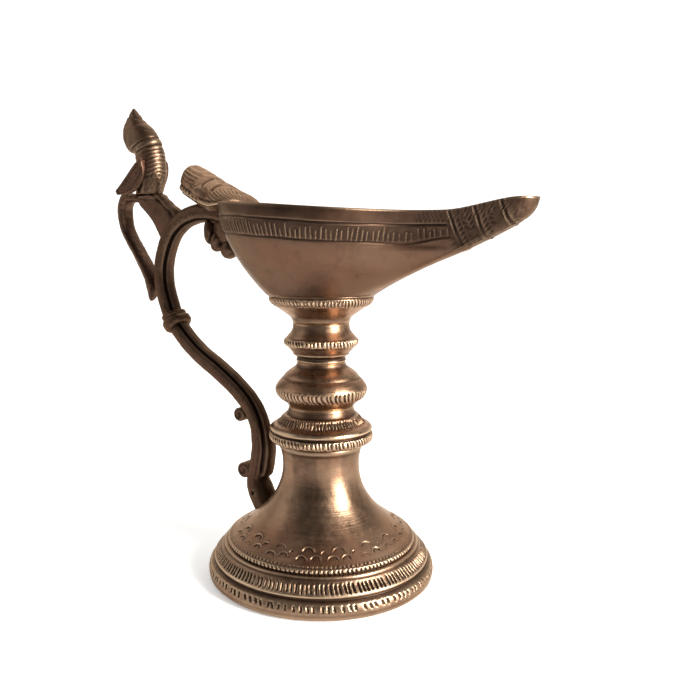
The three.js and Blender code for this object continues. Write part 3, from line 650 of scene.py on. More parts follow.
def bowl_rings(count):
    """The rings of the bowl, from the spigot over the outside and the lip to the inside, and the
    numbers of the first ring of the outside and of the one after its last."""
    def ring(level, grow, floor, drop=0.0):
        flat = bowl_outline(level, grow, count)
        height = BOWL_SEAT + floor + (rim_height(flat[:, 0]) - BOWL_SEAT - floor) * level - drop
        return np.column_stack([flat, height])

    round_foot = ring(0, 0, 0)
    spigot = [round_foot * [share, share, 0] + [0, 0, BOWL_SEAT - down] for share, down in SPIGOT]
    levels = spaced(np.linspace(0, 1, 400)[:, None],
                    lambda p: 1 / (34 + 62 * within(p[:, 0], 0.6, 0.86, 0.03)))[:, 0]
    outer = [ring(level, 0, 0) for level in levels[:-1]]
    lip = [ring(1, grow, 0, drop=drop) for grow, drop in ((0, 0.25), (-0.12, 0.06))]
    first, last = lip[-1], ring(1, -BOWL_WALL, 0, drop=0.1)
    lip += [first * (1 - s) + last * s for s in (0.3, 0.65)] + [last]
    inner = [ring(level, -BOWL_WALL, BOWL_FLOOR) for level in np.linspace(1, 0, 22)[1:]]
    floor = [inner[-1] * [s, s, 1] - [0, 0, 0.25 * (1 - s)] for s in (0.7, 0.35, 0.02)]
    return np.array(spigot + outer + lip + inner + floor), len(spigot), len(spigot) + len(outer)


def along_rim(part):
    """For each point of the outside, the distance along the rim to the place square to it.

    The two sides run from the back: one with distances above 0, the other below."""
    half = part.shape[1] // 2
    rim = part[-1, :half + 1, :2]
    ahead = unit(np.gradient(rim, axis=0))
    length = added_up(np.linalg.norm(np.diff(rim, axis=0), axis=1))
    found = np.zeros(part.shape[:2])
    for i, row in enumerate(part[:, :half + 1, :2]):
        away = np.square(row[:, None] - rim).sum(-1)
        k = np.argmin(away, axis=1)
        found[i, :half + 1] = length[k] + ((row - rim[k]) * ahead[k]).sum(-1)
    found[:, half + 1:] = -found[:, half - 1:0:-1]
    return found


# Where each band of the spout meets the rim, and how far it leans forward per mm down. All of
# them also curve forward.
SPOUT_BANDS = ((43.3, 0.12), (50.2, 0.1), (57.2, 0.15))
BAND_CURVE = 0.018


def bowl_relief(rings, first, last):
    """The hatched band on the bowl and the bands and chasing of the spout."""
    lift = np.zeros(rings.shape[:2])
    part = rings[first:last]
    x, y, z = part[..., 0], part[..., 1], part[..., 2]
    s = along_rim(part)
    depth = rim_height(x) - z
    on_bowl = falling(x - 0.29 * depth, 41.4, 42.2)
    upper, lower = 4.0, 8.9 - 1.6 * rising(x, 30, 42)
    lines = bell(depth - upper + 0.12 * wander(s * 0.2, 3), 0.2)
    lines += bell(depth - lower + 0.15 * wander(s * 0.15, 4), 0.24)
    # Upright chisel cuts on the lower line, each with a burr thrown up beside it.
    place = s / 1.42
    which = np.round(place)
    share = (depth - upper) / (lower - upper)
    shift = (hashed(which, 7) - 0.5) * 0.3 + (hashed(which, 8) - 0.5) * 0.5 * (share - 0.5)
    away = place - which - shift
    top = 0.16 + 0.34 * hashed(which, 9) - 0.14 * rising(-x, 5, 22)
    bottom = 0.84 + 0.1 * hashed(which, 10)
    strength = within(share, top, bottom, 0.07) * (0.65 + 0.35 * hashed(which, 12))
    dense = rising(-x, 0, 14)
    cuts = (0.1 + 0.2 * dense) * bell(away, 0.16) - (0.3 - 0.14 * dense) * bell(away - 0.24, 0.11)
    # A patch of close cuts under the rim, just before the spout.
    patch = rising(x, 34, 36) * within(depth, 0.9, 3.0, 0.5)
    patch = 0.2 * patch * bell(to_whole(s / 1.1 + 0.25 * (depth - 2)), 0.16)
    lift[first:last] = -on_bowl * (0.3 * lines + cuts * strength + patch)
    # A thin raised line and a groove for each band, leaning forward as it goes down.
    bands = np.zeros(x.shape)
    clear = np.ones(x.shape)
    for at_rim, lean in SPOUT_BANDS:
        at = x - at_rim - lean * depth - BAND_CURVE * depth**2 - 0.15 * wander(depth * 0.6, 14)
        bands = bands + 0.24 * bell(at, 0.2) - 0.34 * bell(at - 0.58, 0.26) - 0.12 * bell(at + 0.48, 0.2)
        clear *= 1 - within(at, -0.8, 1.6, 0.35)
    # Chasing between the bands: columns of short nicks, slanting the other way in every second one.
    place = (x - 0.4 * depth - 43.6) / 1.75
    column = np.floor(place)
    inside = place - column
    side = np.where(column % 2 == 0, 1, -1)
    rank = depth / 1.1 + side * 1.1 * (inside - 0.5) + 0.3 * wander(column * 3.1, 17)
    chosen = hashed(np.round(rank) * 7 + column * 3, 16) > 0.18
    nick = bell(to_whole(rank), 0.2) * within(inside, 0.24, 0.76, 0.14) * chosen
    scribble = bell(lumps(x * 0.9 + 5, depth * 1.1, 18), 0.12) * rising(x, 55, 57)
    field = rising(x, 43.4, 44.4) * clear * within(depth, 0.9, 11, 0.8) * falling(x, 62, 63.5)
    lift[first:last] += bands * rising(x, 40.8, 41.4) * rising(depth, 0.1, 0.6)
    lift[first:last] -= (0.26 * nick * falling(x, 55, 57) + 0.14 * scribble) * field
    lift[first:last] += 0.05 * lumps(x * 0.08 + 9, y * 0.08 + z * 0.12, 19) * rising(depth, 0.4, 2)
    return lift


def bowl_patina_and_painted_shade(rings):
    """Darker under the rim, where patina and a painted dark reflection lie together, and patina over the
    hatched band and over the spout.
    """
    x, z = rings[..., 0], rings[..., 2]
    depth = rim_height(x) - z
    # Under the rim: patina together with a painted dark reflection of the room in front.
    film_and_painted_shade = 0.3 * falling(depth, 6.6, 8.4) * (0.8 + 0.3 * lumps(x * 0.12, z * 0.3, 21))
    film_and_painted_shade += 0.35 * within(depth, 4.0, 8.2, 0.5) * falling(x, 33, 39)
    spout = 0.45 * rising(x, 41, 47) * falling(depth, 9, 14)
    return np.clip(np.maximum(film_and_painted_shade, spout), 0, 1)


BOWL_RINGS, FIRST, LAST = bowl_rings(count=960)
grid_object("bowl", BOWL_RINGS, BOWL_BRASS, relief=bowl_relief(BOWL_RINGS, FIRST, LAST),
            patina_and_painted_shade=bowl_patina_and_painted_shade(BOWL_RINGS))


# ---- handle

def back(behind, above):
    """A point behind the bowl: distance behind its back, and height above its seat."""
    return (-BOWL_RADIUS - behind, BOWL_SEAT + above)


def swept(path, sections, along=None):
    """Rings square to a path in the plane of the lamp, or to along. sections[i] has [out, across]
    points."""
    along = unit(np.gradient(path, axis=0)) if along is None else along
    out, across = sections[..., 0], sections[..., 1]
    return np.stack([path[:, :1] - along[:, 1:] * out, -across, path[:, 1:] + along[:, :1] * out], -1)


def squircle(count, power, half_out, half_across):
    """A section with soft corners: count points of [out, across]."""
    turn = TAU * np.arange(count) / count
    return np.stack([np.sign(v) * np.abs(v)**power * half
                     for v, half in ((np.cos(turn), half_out), (np.sin(turn), half_across))], -1)


SINK = 0.5
BELL_LINE = np.vstack([[(28.3, 12.6)], BELL, [(12.45, 39.7)]])


def bell_radius(z):
    return np.where((z > 11) & (z < 39), np.interp(z, BELL_LINE[:, 1], BELL_LINE[:, 0]), 0)


def bowl_back_radius(z):
    level = np.clip((z - BOWL_SEAT) / (BOWL_DEPTH + BACK_RISE), 0, 1)
    return np.where(z > BOWL_SEAT - 1, bowl_radius(level), 0)


def off_the_lamp(rings):
    """Keeps points from reaching deeper than SINK into the bell of the foot or the bowl."""
    for radius_at in (bell_radius, bowl_back_radius):
        r = np.hypot(rings[..., 0], rings[..., 1])
        least = radius_at(rings[..., 2]) - SINK
        grow = np.where(r < least, least / np.maximum(r, 1e-6), 1)
        rings = rings * np.stack([grow, grow, np.ones_like(grow)], -1)
    return rings


HANDLE_LINE = drawn([
    (-17.5, 11.5), (-22.4, 18), (-25.3, 24.5), (-24.2, 31), (-23.5, 37), (-24.6, 44), (-28.3, 50),
    (-34, 54.8), (-41, 59.3), back(20.5, -22), back(27.4, -16.5), back(31.8, -11.5), back(34.9, -5),
    back(36.6, 1.1), back(36.6, 7.1), back(34.7, 13.1), back(31.4, 18.6), back(26.3, 22.6),
    back(20.2, 24.6), back(14.2, 24.8), back(8.1, 23.7), back(3.1, 22.4), back(-3, 21.1),
], 400, 620)
HANDLE_LENGTH = 153.9
HANDLE_HALF = 3.1


def handle_relief(section, path):
    """The groove along the flat sides, the pitted outer band, and the swell behind the stem."""
    out = section[..., 0] / HANDLE_HALF
    side = rising(np.abs(section[..., 1]), 1.2, 2.0)
    share = np.linspace(0, 1, len(path))[:, None]
    length = share * HANDLE_LENGTH
    main = -1.0 * bell(out + 0.76, 0.13) * side * rising(share, 0.1, 0.14)
    second = -0.45 * bell(out - 0.66, 0.12) * side * within(share, 0.12, 0.25, 0.02)
    around = np.arange(section.shape[1]) * 0.225
    outer = rising(out, -0.55, -0.25)
    pits = rising(lumps(length * 1.15, around * 1.15 + 7, 81), 0.3, 0.9)
    rough = 0.07 * lumps(length * 0.45, around * 0.45 + 3, 83) - (0.03 + 0.05 * outer) * pits
    hole = -0.8 * np.exp(-(np.square(length - 11.6) + np.square(out * HANDLE_HALF - 0.3)) / 0.35) * side
    swell = 1.6 * rising(-out, 0.35, 0.9) * rising(share, 0.1, 0.125) * falling(share, 0.165, 0.23)
    foot = 0.85 * falling(share, 0.075, 0.12)
    return main + second + rough + hole + swell + foot


HANDLE_SECTION = squircle(96, 0.78, 3.15, 3.6)
HANDLE_SECTION[:, 1] *= 1 - 0.24 * rising(-HANDLE_SECTION[:, 0] / HANDLE_HALF, 0.2, 1.0)
sections = np.repeat(HANDLE_SECTION[None], len(HANDLE_LINE), axis=0)
casting("handle_scroll", swept(HANDLE_LINE, sections), relief=handle_relief(sections, HANDLE_LINE),
        keep=off_the_lamp)


def curl(name, share, stand, radius, width):
    """A rolled curl on the handle: a short bar across the lamp, with a spiral cut in each end."""
    k = int(round(share * (len(HANDLE_LINE) - 1)))
    along = HANDLE_LINE[k + 1] - HANDLE_LINE[k - 1]
    along = along / np.linalg.norm(along)
    out = HANDLE_HALF + stand * radius
    centre = HANDLE_LINE[k] + out * np.array([-along[1], along[0]])
    heading = math.atan2(along[1], along[0])
    turn = TAU * np.arange(64) / 64
    half = width / 2
    line = [(0.03, -half), (0.35, -half), (0.7, -half), (0.9, 0.12 - half), (1, 0.45 - half)]
    line += [(1, y) for y in np.linspace(0.7 - half, half - 0.7, 9)] + [(r, -y) for r, y in line[::-1]]
    line = spaced(np.array(line) * [radius, 1], lambda p: np.full(len(p), 0.2))
    r, y = line[:, :1], line[:, 1:]
    rings = np.stack([centre[0] + r * np.cos(turn), y + 0 * turn, centre[1] + r * np.sin(turn)], -1)
    swirl = (turn - heading) / TAU + r / radius * 1.3
    face = rising(np.abs(y), half - 0.35, half - 0.1)
    cut = -0.2 * bell(to_whole(swirl) * r * 1.6, 0.4) * face * rising(r, 0.2, 0.6)
    pits = rising(lumps(turn * radius * 1.1, y * 1.1 + r, 85), 0.3, 0.9)
    casting(name, rings, relief=cut - 0.1 * pits)


curl("handle_curl_upper", share=0.2645, stand=0.72, radius=2.3, width=6.0)
curl("handle_curl_lower", share=0.1123, stand=0.5, radius=2.6, width=6.0)


def handle_collar():
    """Two rounded beads round the handle, the lower one larger, with a groove between."""
    place, reach, rows = 0.55, 5.9 / HANDLE_LENGTH, 72
    share = np.linspace(place - reach / 2, place + reach / 2, rows)
    path = taken(HANDLE_LINE, np.arange(len(HANDLE_LINE)), share * (len(HANDLE_LINE) - 1))
    s = np.linspace(0, 1, rows)
    beads = np.maximum(np.sqrt(np.clip(1 - np.square((s - 0.36) / 0.36), 0, 1)),
                       0.5 * np.sqrt(np.clip(1 - np.square((s - 0.84) / 0.16), 0, 1)))
    ring = squircle(96, 0.86, 1, 1)
    sizes = np.stack([3.2 + 1.35 * beads, 3.7 + 1.35 * beads], -1)
    section = ring * sizes[:, None]
    grain = 0.1 * lumps(6 * s[:, None], np.arange(96) * 0.3, 91)
    casting("handle_collar", swept(path, section), relief=grain * beads[:, None])


handle_collar()


# ---- thumb crest

def crest():
    """A domed shell. b and a are the distances behind the bowl and above its seat. rows has b, the
    heights of crown and edge, half the width and the depth of the skirt."""
    rows = [
        (-2, 27.9, 27.6, 5, 0.2), (-0.6, 29.3, 27.5, 7.6, 0.2), (1.6, 30.9, 27.1, 9.6, 0.4),
        (5.6, 32.8, 26.7, 10.5, 1.8), (10.6, 35.1, 28.4, 10.4, 1.8), (14.9, 37.7, 30.4, 9.9, 1.8),
        (17.8, 39.3, 31.6, 9, 1.8), (20.4, 40.6, 32.4, 7.2, 1.8), (22.7, 39.8, 32.8, 5, 1.8),
        (24.6, 38.2, 33, 2.8, 1.8), (25.7, 36.6, 33.3, 0.8, 1.3),
    ]
    b, top, low, half, skirt = (column[:, None] for column in drawn(rows, 60, 190).T)
    outer = 131
    over = np.pi * (np.linspace(0, 1, outer) - 0.5)
    under = np.array([0.97, 0.8, 0.4, 0, -0.4, -0.8, -0.97])
    y = np.hstack([half * np.sin(over), half * under])
    rise = np.hstack([(top - low) * np.cos(over)**0.85,
                      0.6 * (1 - np.abs(under)) - skirt * rising(1 - np.abs(under), 0, 0.15)])
    rings = np.stack([-BOWL_RADIUS - b + 0 * y, y, BOWL_SEAT + low + rise], -1)

    deg = np.abs(np.degrees(over))
    a = (low + rise)[:, :outer]
    dome = np.zeros(rings.shape[:2])
    # Fine strands over the raised end, falling a little towards the bowl.
    strands = within(b + 0.5 * (a - 36), 13.5, 40, 1.0) * rising(a, 33.4, 35.2)
    flow = a - 0.46 * b - 0.035 * np.square(np.clip(b - 19, 0, 9))
    relief = 0.09 * strands * np.cos(TAU * (flow + 0.12 * wander(b / 2.4, 93)) / 0.95)
    # Two slanting cuts with a smooth tab between them.
    lean = (deg - 30) / 40
    for place, slope, lower, upper in ((10.9, -1.4, 8, 50), (6.9, -1.1, 12, 44)):
        cut = bell(b - place - slope * lean, 0.5) * within(deg, lower, upper, 8)
        relief -= 0.34 * cut
    relief += 0.22 * within(b, 7.6, 9.9, 0.9) * within(deg, 12, 48, 9)
    # The round cheek, with two knobs behind it, and a shallow curl.
    away = np.sqrt(np.square(b - 10.0) + np.square((a - 30.8) * 1.15))
    relief = relief + 0.4 * falling(away, 1.0, 3.6) - 0.12 * bell(away - 3.6, 0.6) * (deg > 40)
    for kb, ka, size in ((12.4, 33.2, 0.55), (11.6, 32.0, 0.45)):
        relief += 0.35 * bell(np.hypot(b - kb, a - ka), size)
    leaf = np.sqrt(np.square(b - 15.2) + np.square((a - 33.4) * 1.2))
    relief -= 0.12 * bell(leaf - 1.9, 0.5) * (deg > 44)
    # Ribs that fall from the crown to the bowl.
    ribs = falling(b - 0.04 * (deg - 40), 4.6, 6.0) * within(deg, -1, 92, 8)
    relief += ribs * (0.2 * np.abs(np.cos(math.pi * (b + 0.22 * deg) / 2.2)) - 0.13)
    # The rolled lower edge, nicked where it passes the cheek.
    edge = rising(deg, 82.5, 86.5)
    nicks = within(b, 9.5, 17.5, 0.6)
    relief = relief * (1 - edge) + edge * (0.3 - 0.4 * nicks * bell(to_whole(b / 1.7), 0.16))
    relief -= 0.18 * bell(deg - 80.5, 2.2) * rising(b, 1.5, 4)
    # The scalloped crown.
    scallops = 0.12 * np.cos(TAU * b / 2.6) * falling(deg, 6, 24) * falling(b, 17, 19)
    relief = (relief + scallops) * rising(half, 1.2, 4)
    dome[:, :outer] = relief + 0.05 * lumps(b * 0.8, deg * 0.09, 95)
    grid_object("thumb_crest", rings, CREST_BRASS, relief=dome)


crest()


# ---- bird and its bracket

# The middle of the bird: distance behind the bowl and height above its seat, half depth, half width.
SPINE = [
    (43.4, 31.9, 5.4, 4.0), (42.6, 34.6, 5.3, 4.4), (41.8, 37.6, 5.2, 4.7), (41.8, 41.2, 5.3, 4.8),
    (42.3, 44.6, 5.5, 4.8), (44.2, 48, 6.0, 4.8), (47, 51.2, 6.5, 4.7), (48.8, 54.2, 5.8, 4.0),
    (49.5, 57.4, 3.7, 2.7), (49.8, 60.1, 1.6, 1.3), (49.9, 61.6, 0.4, 0.4),
]


def bird():
    """The body of the bird. slant rises along lines that fall towards its back."""
    b, a, out, across = drawn(SPINE, 60, 240).T
    path = np.column_stack(back(b, a))
    turn = TAU * np.arange(112) / 112
    section = np.stack([out[:, None] * np.cos(turn), across[:, None] * np.sin(turn)], -1)
    level = falling(np.arange(240), 0, 30)[:, None]
    along = (unit(np.gradient(path, axis=0)) + [0, 0.6]) * (1 - level) + np.array([0, 1.0]) * level
    rings = swept(path, section, unit(along))
    behind = -BOWL_RADIUS - rings[..., 0]
    above = rings[..., 2] - BOWL_SEAT
    slant = above + 0.47 * behind
    rear = rising(np.cos(turn), -0.15, 0.75)
    front = falling(np.cos(turn), -0.75, -0.05)
    # Edge of the hood, a roll under it, and rings that show down the front of the neck.
    relief = -0.42 * bell(slant - 69.4, 0.42) * (0.5 + 0.5 * (1 - front)) - 0.3 * bell(slant - 66.6, 0.4)
    relief = relief + 0.22 * bell(slant - 68.0, 0.8) - 0.9 * bell(slant - 68.0, 1.4) * rear
    neck = within(slant, 56.5, 66.0, 0.8)
    rings_in = np.abs(np.sin(math.pi * (slant - 66.0) / 1.4))
    relief += neck * (0.1 + 0.9 * front**2) * (0.15 * rings_in - 0.1)
    # Feather scales on the breast, flutes on the flank.
    row = (above - 32.6) / 1.35
    angle = turn / TAU * 22 + 0.5 * (np.floor(row) % 2)
    cell = angle - np.floor(angle) - 0.5
    drop = row - np.floor(row)
    scale = bell(np.hypot(cell * 1.6, drop - 0.95) - 0.72, 0.18)
    breast = falling(slant, 56.6, 58.0) * rising(above, 33.2, 34.2)
    relief += breast * (0.1 + 0.9 * front) * (0.06 * scale - 0.03)
    flutes = within(above, 32.9, 38.2, 1.0) * (1 - front) * (1 - rear)
    relief += 0.14 * flutes * np.cos(turn * 11)
    # A shallow hollow and fine barbs on the side of the hood, and the tip set off by a line.
    cheek = np.hypot((behind - 50.3) / 2.6, (above - 50.6) / 3.6)
    relief -= 0.3 * falling(cheek, 0.3, 1.0) * (1 - front)
    hood = rising(slant, 70.2, 71.5) * falling(above, 55, 57.5)
    relief += 0.05 * hood * rear * np.cos(TAU * behind / 1.1 + 0.5 * above)
    relief -= 0.26 * bell(above - 58.2 - 0.2 * (behind - 48), 0.34)
    relief = relief * rising(out, 0.6, 2.5)[:, None] + 0.06 * lumps(above * 1.2, turn * 3, 97)
    casting("bird_body", rings, relief=relief, looks=BIRD_BRASS)


def casting_between(name, one, other, half, middle, relief_at, edge):
    """A flat casting between two rails of [behind, above]. half is half its thickness, middle how
    far its middle stands out sideways, edge how square its edges are."""
    rows, columns = 120, 44
    one, other = (drawn(rail, 60, rows) for rail in (one, other))
    share = (1 - np.cos(np.pi * np.linspace(0, 1, columns))) / 2
    share = np.concatenate([share, share[-2:0:-1]])
    face = np.concatenate([np.ones(columns), -np.ones(columns - 2)])
    flat = one[:, None] + (other - one)[:, None] * share[:, None]
    ends = np.minimum(np.arange(rows), np.arange(rows)[::-1]) / 5.0
    soft = np.clip(1 - (1 - np.clip(ends, 0, 1))**edge, 0, 1)**(1 / edge)
    thick = half * (1 - np.abs(2 * share - 1)**edge)**(1 / edge) * soft[:, None]
    x, z = back(flat[..., 0], flat[..., 1])
    rings = np.stack([x, middle + face * np.maximum(thick, 0.02), z], -1)
    width = np.linalg.norm(other - one, axis=1)[:, None]
    relief = relief_at(flat[..., 0], flat[..., 1], share * width, width)
    inside = (np.abs(face) * (1 - np.abs(2 * share - 1)**8)) * soft[:, None]
    casting(name, rings, relief=relief * inside, looks=WEB_BRASS)


def bracket_relief(b, a, x, width):
    """x runs from the left edge to the rolled right edge."""
    inward = width - x
    roll = 0.4 * bell(inward - 0.9, 0.65) - 0.2 * bell(inward - 2.0, 0.5)
    dish = -0.8 * np.exp(-np.square((b - 36.6) / 3.0) - np.square((a - 27.2) / 3.2))
    lip = 0.35 * bell(a - 31.0, 0.5) - 0.2 * bell(a - 29.9, 0.5)
    return roll + dish + lip + 0.12 * lumps(b * 0.35, a * 0.35, 101) + 0.06 * lumps(b * 1.1, a * 1.1, 102)


def wing_relief(b, a, x, width):
    """A sunk field with veins inside a raised border. u runs along the wing, v across it."""
    v = x / width
    u = 0.758 * (b - 41.1) - 0.654 * (a - 42.9)
    field = within(v, 0.17, 0.83, 0.05) * within(u, 1.5, 15.0, 0.8)
    border = -0.28 * field + 0.1 * bell(v - 0.17, 0.05) + 0.1 * bell(v - 0.83, 0.05)
    veins = 0.03 * np.cos(TAU * (v * 4.2 + 0.09 * u)) + 0.07 * lumps(u * 1.5, v * 6, 104)
    return border + veins * field + 0.06 * lumps(b * 1.6, a * 1.6, 103)


TAIL = ((42.6, 29.4), (47.0, 30.5), (51.0, 30.9), (54.6, 30.6), (56.2, 28.4), (56.5, 24.4), (55.4, 20.0),
        (53.2, 16.3), (50.5, 12.8), (48.0, 9.4), (45.6, 6), (43.7, 2.8), (42.9, -0.2), (43.0, -2.8),
        (43.8, -5.6))


def tail():
    """The tail strap: rounded at its lower end, with a groove and a ridge along each side."""
    line = drawn([back(*place) for place in TAIL], 300, 260)
    share = np.linspace(0, 1, 260)
    thin = 1 - rising(share, 0.86, 1) * 0.62
    half = 1.62 + 0.62 * falling(share, 0.22, 0.52) + 0.3 * within(share, 0.76, 0.89, 0.1)
    half -= 0.75 * falling(share, 0.16, 0.24)
    ring = squircle(72, 0.8, 1, 1)
    sizes = np.stack([half * thin, 2.9 * np.minimum(1, thin + 0.15)], -1)
    section = ring * sizes[:, None]
    rounded = np.sqrt(np.clip(1 - np.square(1 - np.clip((1 - share) / 0.035, 0, 1)), 0.02, 1))
    section = section * rounded[:, None, None]
    side = rising(np.abs(ring[:, 1]), 0.35, 0.8)
    out = ring[:, 0]
    fade = within(share, 0.26, 0.9, 0.06)[:, None]
    groove = -0.22 * bell(out + 0.5, 0.3) * side * fade
    ridge = 0.25 * bell(out - 0.3, 0.35) * side * fade
    grain = 0.07 * lumps(share[:, None] * 50, np.arange(72) * 0.2, 107)
    casting("bird_tail", swept(line, section), relief=groove + ridge + grain, keep=off_the_handle,
            looks=WEB_BRASS)


def off_the_handle(rings):
    """Keeps the tail from reaching through the handle: its points stop inside the bar's outer face."""
    flat = rings[..., [0, 2]].reshape(-1, 2)
    away = flat[:, None] - HANDLE_LINE[::2]
    nearest = np.clip(np.argmin(np.square(away).sum(-1), axis=1) * 2, 1, len(HANDLE_LINE) - 2)
    along = unit(HANDLE_LINE[nearest + 1] - HANDLE_LINE[nearest - 1])
    normal = np.stack([-along[:, 1], along[:, 0]], -1)
    out = ((flat - HANDLE_LINE[nearest]) * normal).sum(-1)
    short = np.clip(2.7 - out, 0, None) * (out > -6)
    moved = rings.copy()
    moved[..., [0, 2]] = (flat + normal * short[:, None]).reshape(*rings.shape[:2], 2)
    return moved


bird()
casting_between("bird_bracket",
                [(48.4, 31.3), (47.2, 28.3), (43.4, 25.0), (40.7, 22.2), (38.5, 18.9), (36.2, 15.2)],
                [(37.4, 31.9), (35.6, 30.9), (33.7, 29.6), (31.7, 28.0), (29.2, 26.6), (27.4, 24.4)],
                half=3.0, middle=0, relief_at=bracket_relief, edge=2.6)
for name, side in (("bird_wing_left", 1), ("bird_wing_right", -1)):
    casting_between(name,
                    [(40.5, 43.6), (43.6, 42.3), (47.2, 39.4), (51, 36), (54.2, 33.2)],
                    [(40.2, 43.0), (39.6, 39.8), (40.6, 36.4), (43.1, 33.6), (47.6, 31.9), (53.5, 31.8)],
                    half=0.95, middle=side * 5.4, relief_at=wing_relief, edge=3.0)
tail()


# ---- drop under the handle

def blob(centre, sizes, tilt, seed):
    """A smooth leaf lobe, a little uneven."""
    up = np.linspace(0, math.pi, 60)[:, None]
    turn = TAU * np.arange(72) / 72
    r = np.sin(up)**0.9
    swell = 1 + 0.1 * np.cos(up) + 0.05 * lumps(up * 2.2, turn * 2 + 0 * up, seed)
    x, y, z = sizes[0] * r * np.cos(turn), sizes[1] * r * np.sin(turn), sizes[2] * np.cos(up) + 0 * turn
    x, y = x * swell, y * swell
    c, s = math.cos(tilt), math.sin(tilt)
    cx, cz = back(*centre)
    return np.stack([cx + c * x + s * z, y, cz - s * x + c * z], -1)[1:-1]


for name, centre, sizes, tilt, seed in (("handle_drop", (14.0, 18.8), (2.0, 3.1, 4.3), 0.08, 111),
                                        ("drop_leaf_middle", (10.7, 15.6), (2.3, 3.2, 3.6), 0.4, 113),
                                        ("drop_leaf_lower", (5.8, 13.0), (3.0, 3.3, 3.3), 0.8, 117),
                                        ("drop_leaf_root", (6.6, 18.4), (6.2, 2.9, 4.4), 0.3, 119)):
    casting(name, blob(centre, sizes, tilt, seed), keep=off_the_lamp)


# ---- carried-over nodes

for looks, names in ((STEEL, ("tie_rod", "tie_washer", "tie_nut")),
                     (BRASS, ("handle_foot_rivet", "handle_bowl_rivet", "drop_rivet", "crest_dowel",
                              "bird_dowel", "bracket_dowel"))):
    for name in names:
        for place in frame["nodes"][name].material_slots:
            place.material = looks


# ---- floor, light and camera

# Where the softboxes point, in metres above the ground.
AIM_HEIGHT = 0.07
# The camera: degrees, millimetres from the lamp's axis and above the ground, and pixels of the photo.
CAMERA_AZIMUTH = 35.0
CAMERA_DISTANCE = 221.7
CAMERA_HEIGHT = 102.1
CAMERA_YAW = 0.55
CAMERA_PITCH = 8.29
FOCAL_PIXELS = 738.0
SHIFT_PIXELS = 35.8
FRAME_PIXELS = 700.0
SENSOR = 36.0
# The sheets and the world. FLOOR_TURN is in degrees, FLOOR_DOWN in metres.
PAPER_WHITE = (0.9, 0.9, 0.9)
PAPER_ROUGHNESS = 0.9
PAPER_GLOW = 0.35
WORLD_COLOUR = (1, 0.985, 0.96)
WORLD_STRENGTH = 0.19
FLOOR_TURN = 35.55
FLOOR_DOWN = 0.0005


def profile(start, wall, bend, steps, top):
    """Points of [distance, height]: flat from start, round the bend, up the wall to top. Metres."""
    arc = [(wall - bend + bend * math.sin(a), bend - bend * math.cos(a))
           for a in np.linspace(0, math.pi / 2, steps)]
    return [(start, 0), *arc, (wall, top)]


def sheet(name, verts, faces, measure, blend, spans, sockets):
    """A sheet of paper, not yet in the stage. measure gives a distance over the sheet, spans turns it
    from the first two numbers into the last two, and sockets of the paper take the result."""
    paper, node, shader = new_material(name + "_paper", ("Base Color", PAPER_WHITE),
                                       ("Roughness", PAPER_ROUGHNESS), ("Emission Strength", PAPER_GLOW))
    place = node("ShaderNodeTexCoord").outputs["Object"]
    away = node("ShaderNodeVectorMath", (0, place), (1, [0, 1, 0]), operation=measure)
    tone = node("ShaderNodeMapRange", ("Value", away.outputs["Value"]),
                *zip(("From Min", "From Max", "To Min", "To Max"), spans), interpolation_type=blend)
    feed(shader, *[(socket, tone.outputs["Result"]) for socket in sockets])
    mesh = bpy.data.meshes.new(name)
    mesh.from_pydata(verts, [], faces)
    mesh.shade_smooth()
    mesh.materials.append(paper)
    return placed(name, mesh)


def floor():
    """The sheet that lights the metal: white round the lamp and behind it, darker towards the front
    of the room. The camera sees the plain backdrop instead."""
    side = 3.0
    line = profile(-side, wall=1.2, bend=0.5, steps=24, top=2.2)
    verts = [(x, y, z) for y, z in line for x in (-side, side)]
    faces = [(2 * i, 2 * i + 1, 2 * i + 3, 2 * i + 2) for i in range(len(line) - 1)]
    made = sheet("floor", verts, faces, "DOT_PRODUCT", "SMOOTHSTEP", (-0.3, -0.08, 0.33, 0.9),
                 ("Base Color", "Emission Color"))
    made.rotation_euler.z = math.radians(FLOOR_TURN)
    made.location.z = -FLOOR_DOWN
    made.visible_camera = False
    made.visible_shadow = False


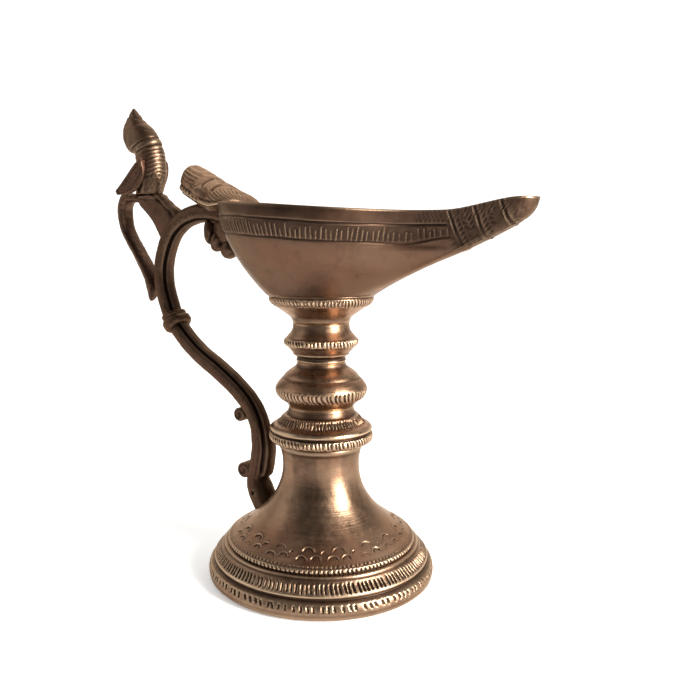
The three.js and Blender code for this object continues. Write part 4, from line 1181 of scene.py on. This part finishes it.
def backdrop():
    """A plain pale floor that sweeps up into a wall all round. Only the camera sees it. Away from
    the lamp its paper glows a little more, where the softboxes don't reach it."""
    line = profile(0.001, wall=2.4, bend=0.9, steps=25, top=3.0)
    around = 96
    verts = [(r * math.cos(TAU * i / around), r * math.sin(TAU * i / around), z)
             for r, z in line for i in range(around)]
    faces = [(k + i, k + (i + 1) % around, k + around + (i + 1) % around, k + around + i)
             for k in range(0, (len(line) - 1) * around, around) for i in range(around)]
    faces.append(tuple(range(around))[::-1])
    made = sheet("backdrop", verts, faces, "LENGTH", "LINEAR", (0.3, 1.3, 0.9, 2.2), ("Emission Color",))
    made.visible_diffuse = made.visible_glossy = made.visible_transmission = False
    made.visible_shadow = False


def world():
    made = bpy.data.worlds.new("studio")
    made.use_nodes = True
    feed(made.node_tree.nodes["Background"], ("Color", WORLD_COLOUR), ("Strength", WORLD_STRENGTH))
    bpy.context.scene.world = made
    bpy.context.scene.view_settings.view_transform = "Standard"


def softbox(name, azimuth, elevation, distance, size, power, colour):
    """An area light that faces the lamp. azimuth is measured from the camera, + to its right."""
    light = bpy.data.lights.new(name, "AREA")
    light.shape = "RECTANGLE"
    light.size, light.size_y = size
    light.energy = power
    light.color = colour
    a, e = math.radians(CAMERA_AZIMUTH + azimuth), math.radians(elevation)
    aim = np.array([AXIS_X * MM, 0, AIM_HEIGHT])
    place = aim + distance * np.array([math.sin(a) * math.cos(e), -math.cos(a) * math.cos(e), math.sin(e)])
    made = placed(name, light)
    made.location = place
    made.rotation_euler = Vector(aim - place).to_track_quat("-Z", "Y").to_euler()


def camera():
    lens = bpy.data.cameras.new("camera")
    lens.sensor_width = SENSOR
    lens.lens = SENSOR * FOCAL_PIXELS / FRAME_PIXELS
    lens.shift_x = SHIFT_PIXELS / FRAME_PIXELS
    lens.clip_start = 0.01
    made = placed("camera", lens)
    a = math.radians(CAMERA_AZIMUTH)
    made.location = (AXIS_X * MM + CAMERA_DISTANCE * MM * math.sin(a), -CAMERA_DISTANCE * MM * math.cos(a),
                     CAMERA_HEIGHT * MM)
    made.rotation_euler = (math.radians(90 - CAMERA_PITCH), 0, math.radians(CAMERA_AZIMUTH + CAMERA_YAW))
    bpy.context.scene.camera = made


floor()
backdrop()
world()
camera()
softbox("key", azimuth=56, elevation=17, distance=0.9, size=(0.34, 0.62), power=29.5,
        colour=(1, 0.955, 0.89))
softbox("fill", azimuth=-90, elevation=25, distance=1.1, size=(0.9, 0.9), power=3, colour=(1, 0.97, 0.93))
softbox("top", azimuth=160, elevation=65, distance=1.2, size=(1.4, 1.4), power=7, colour=(1, 0.99, 0.97))
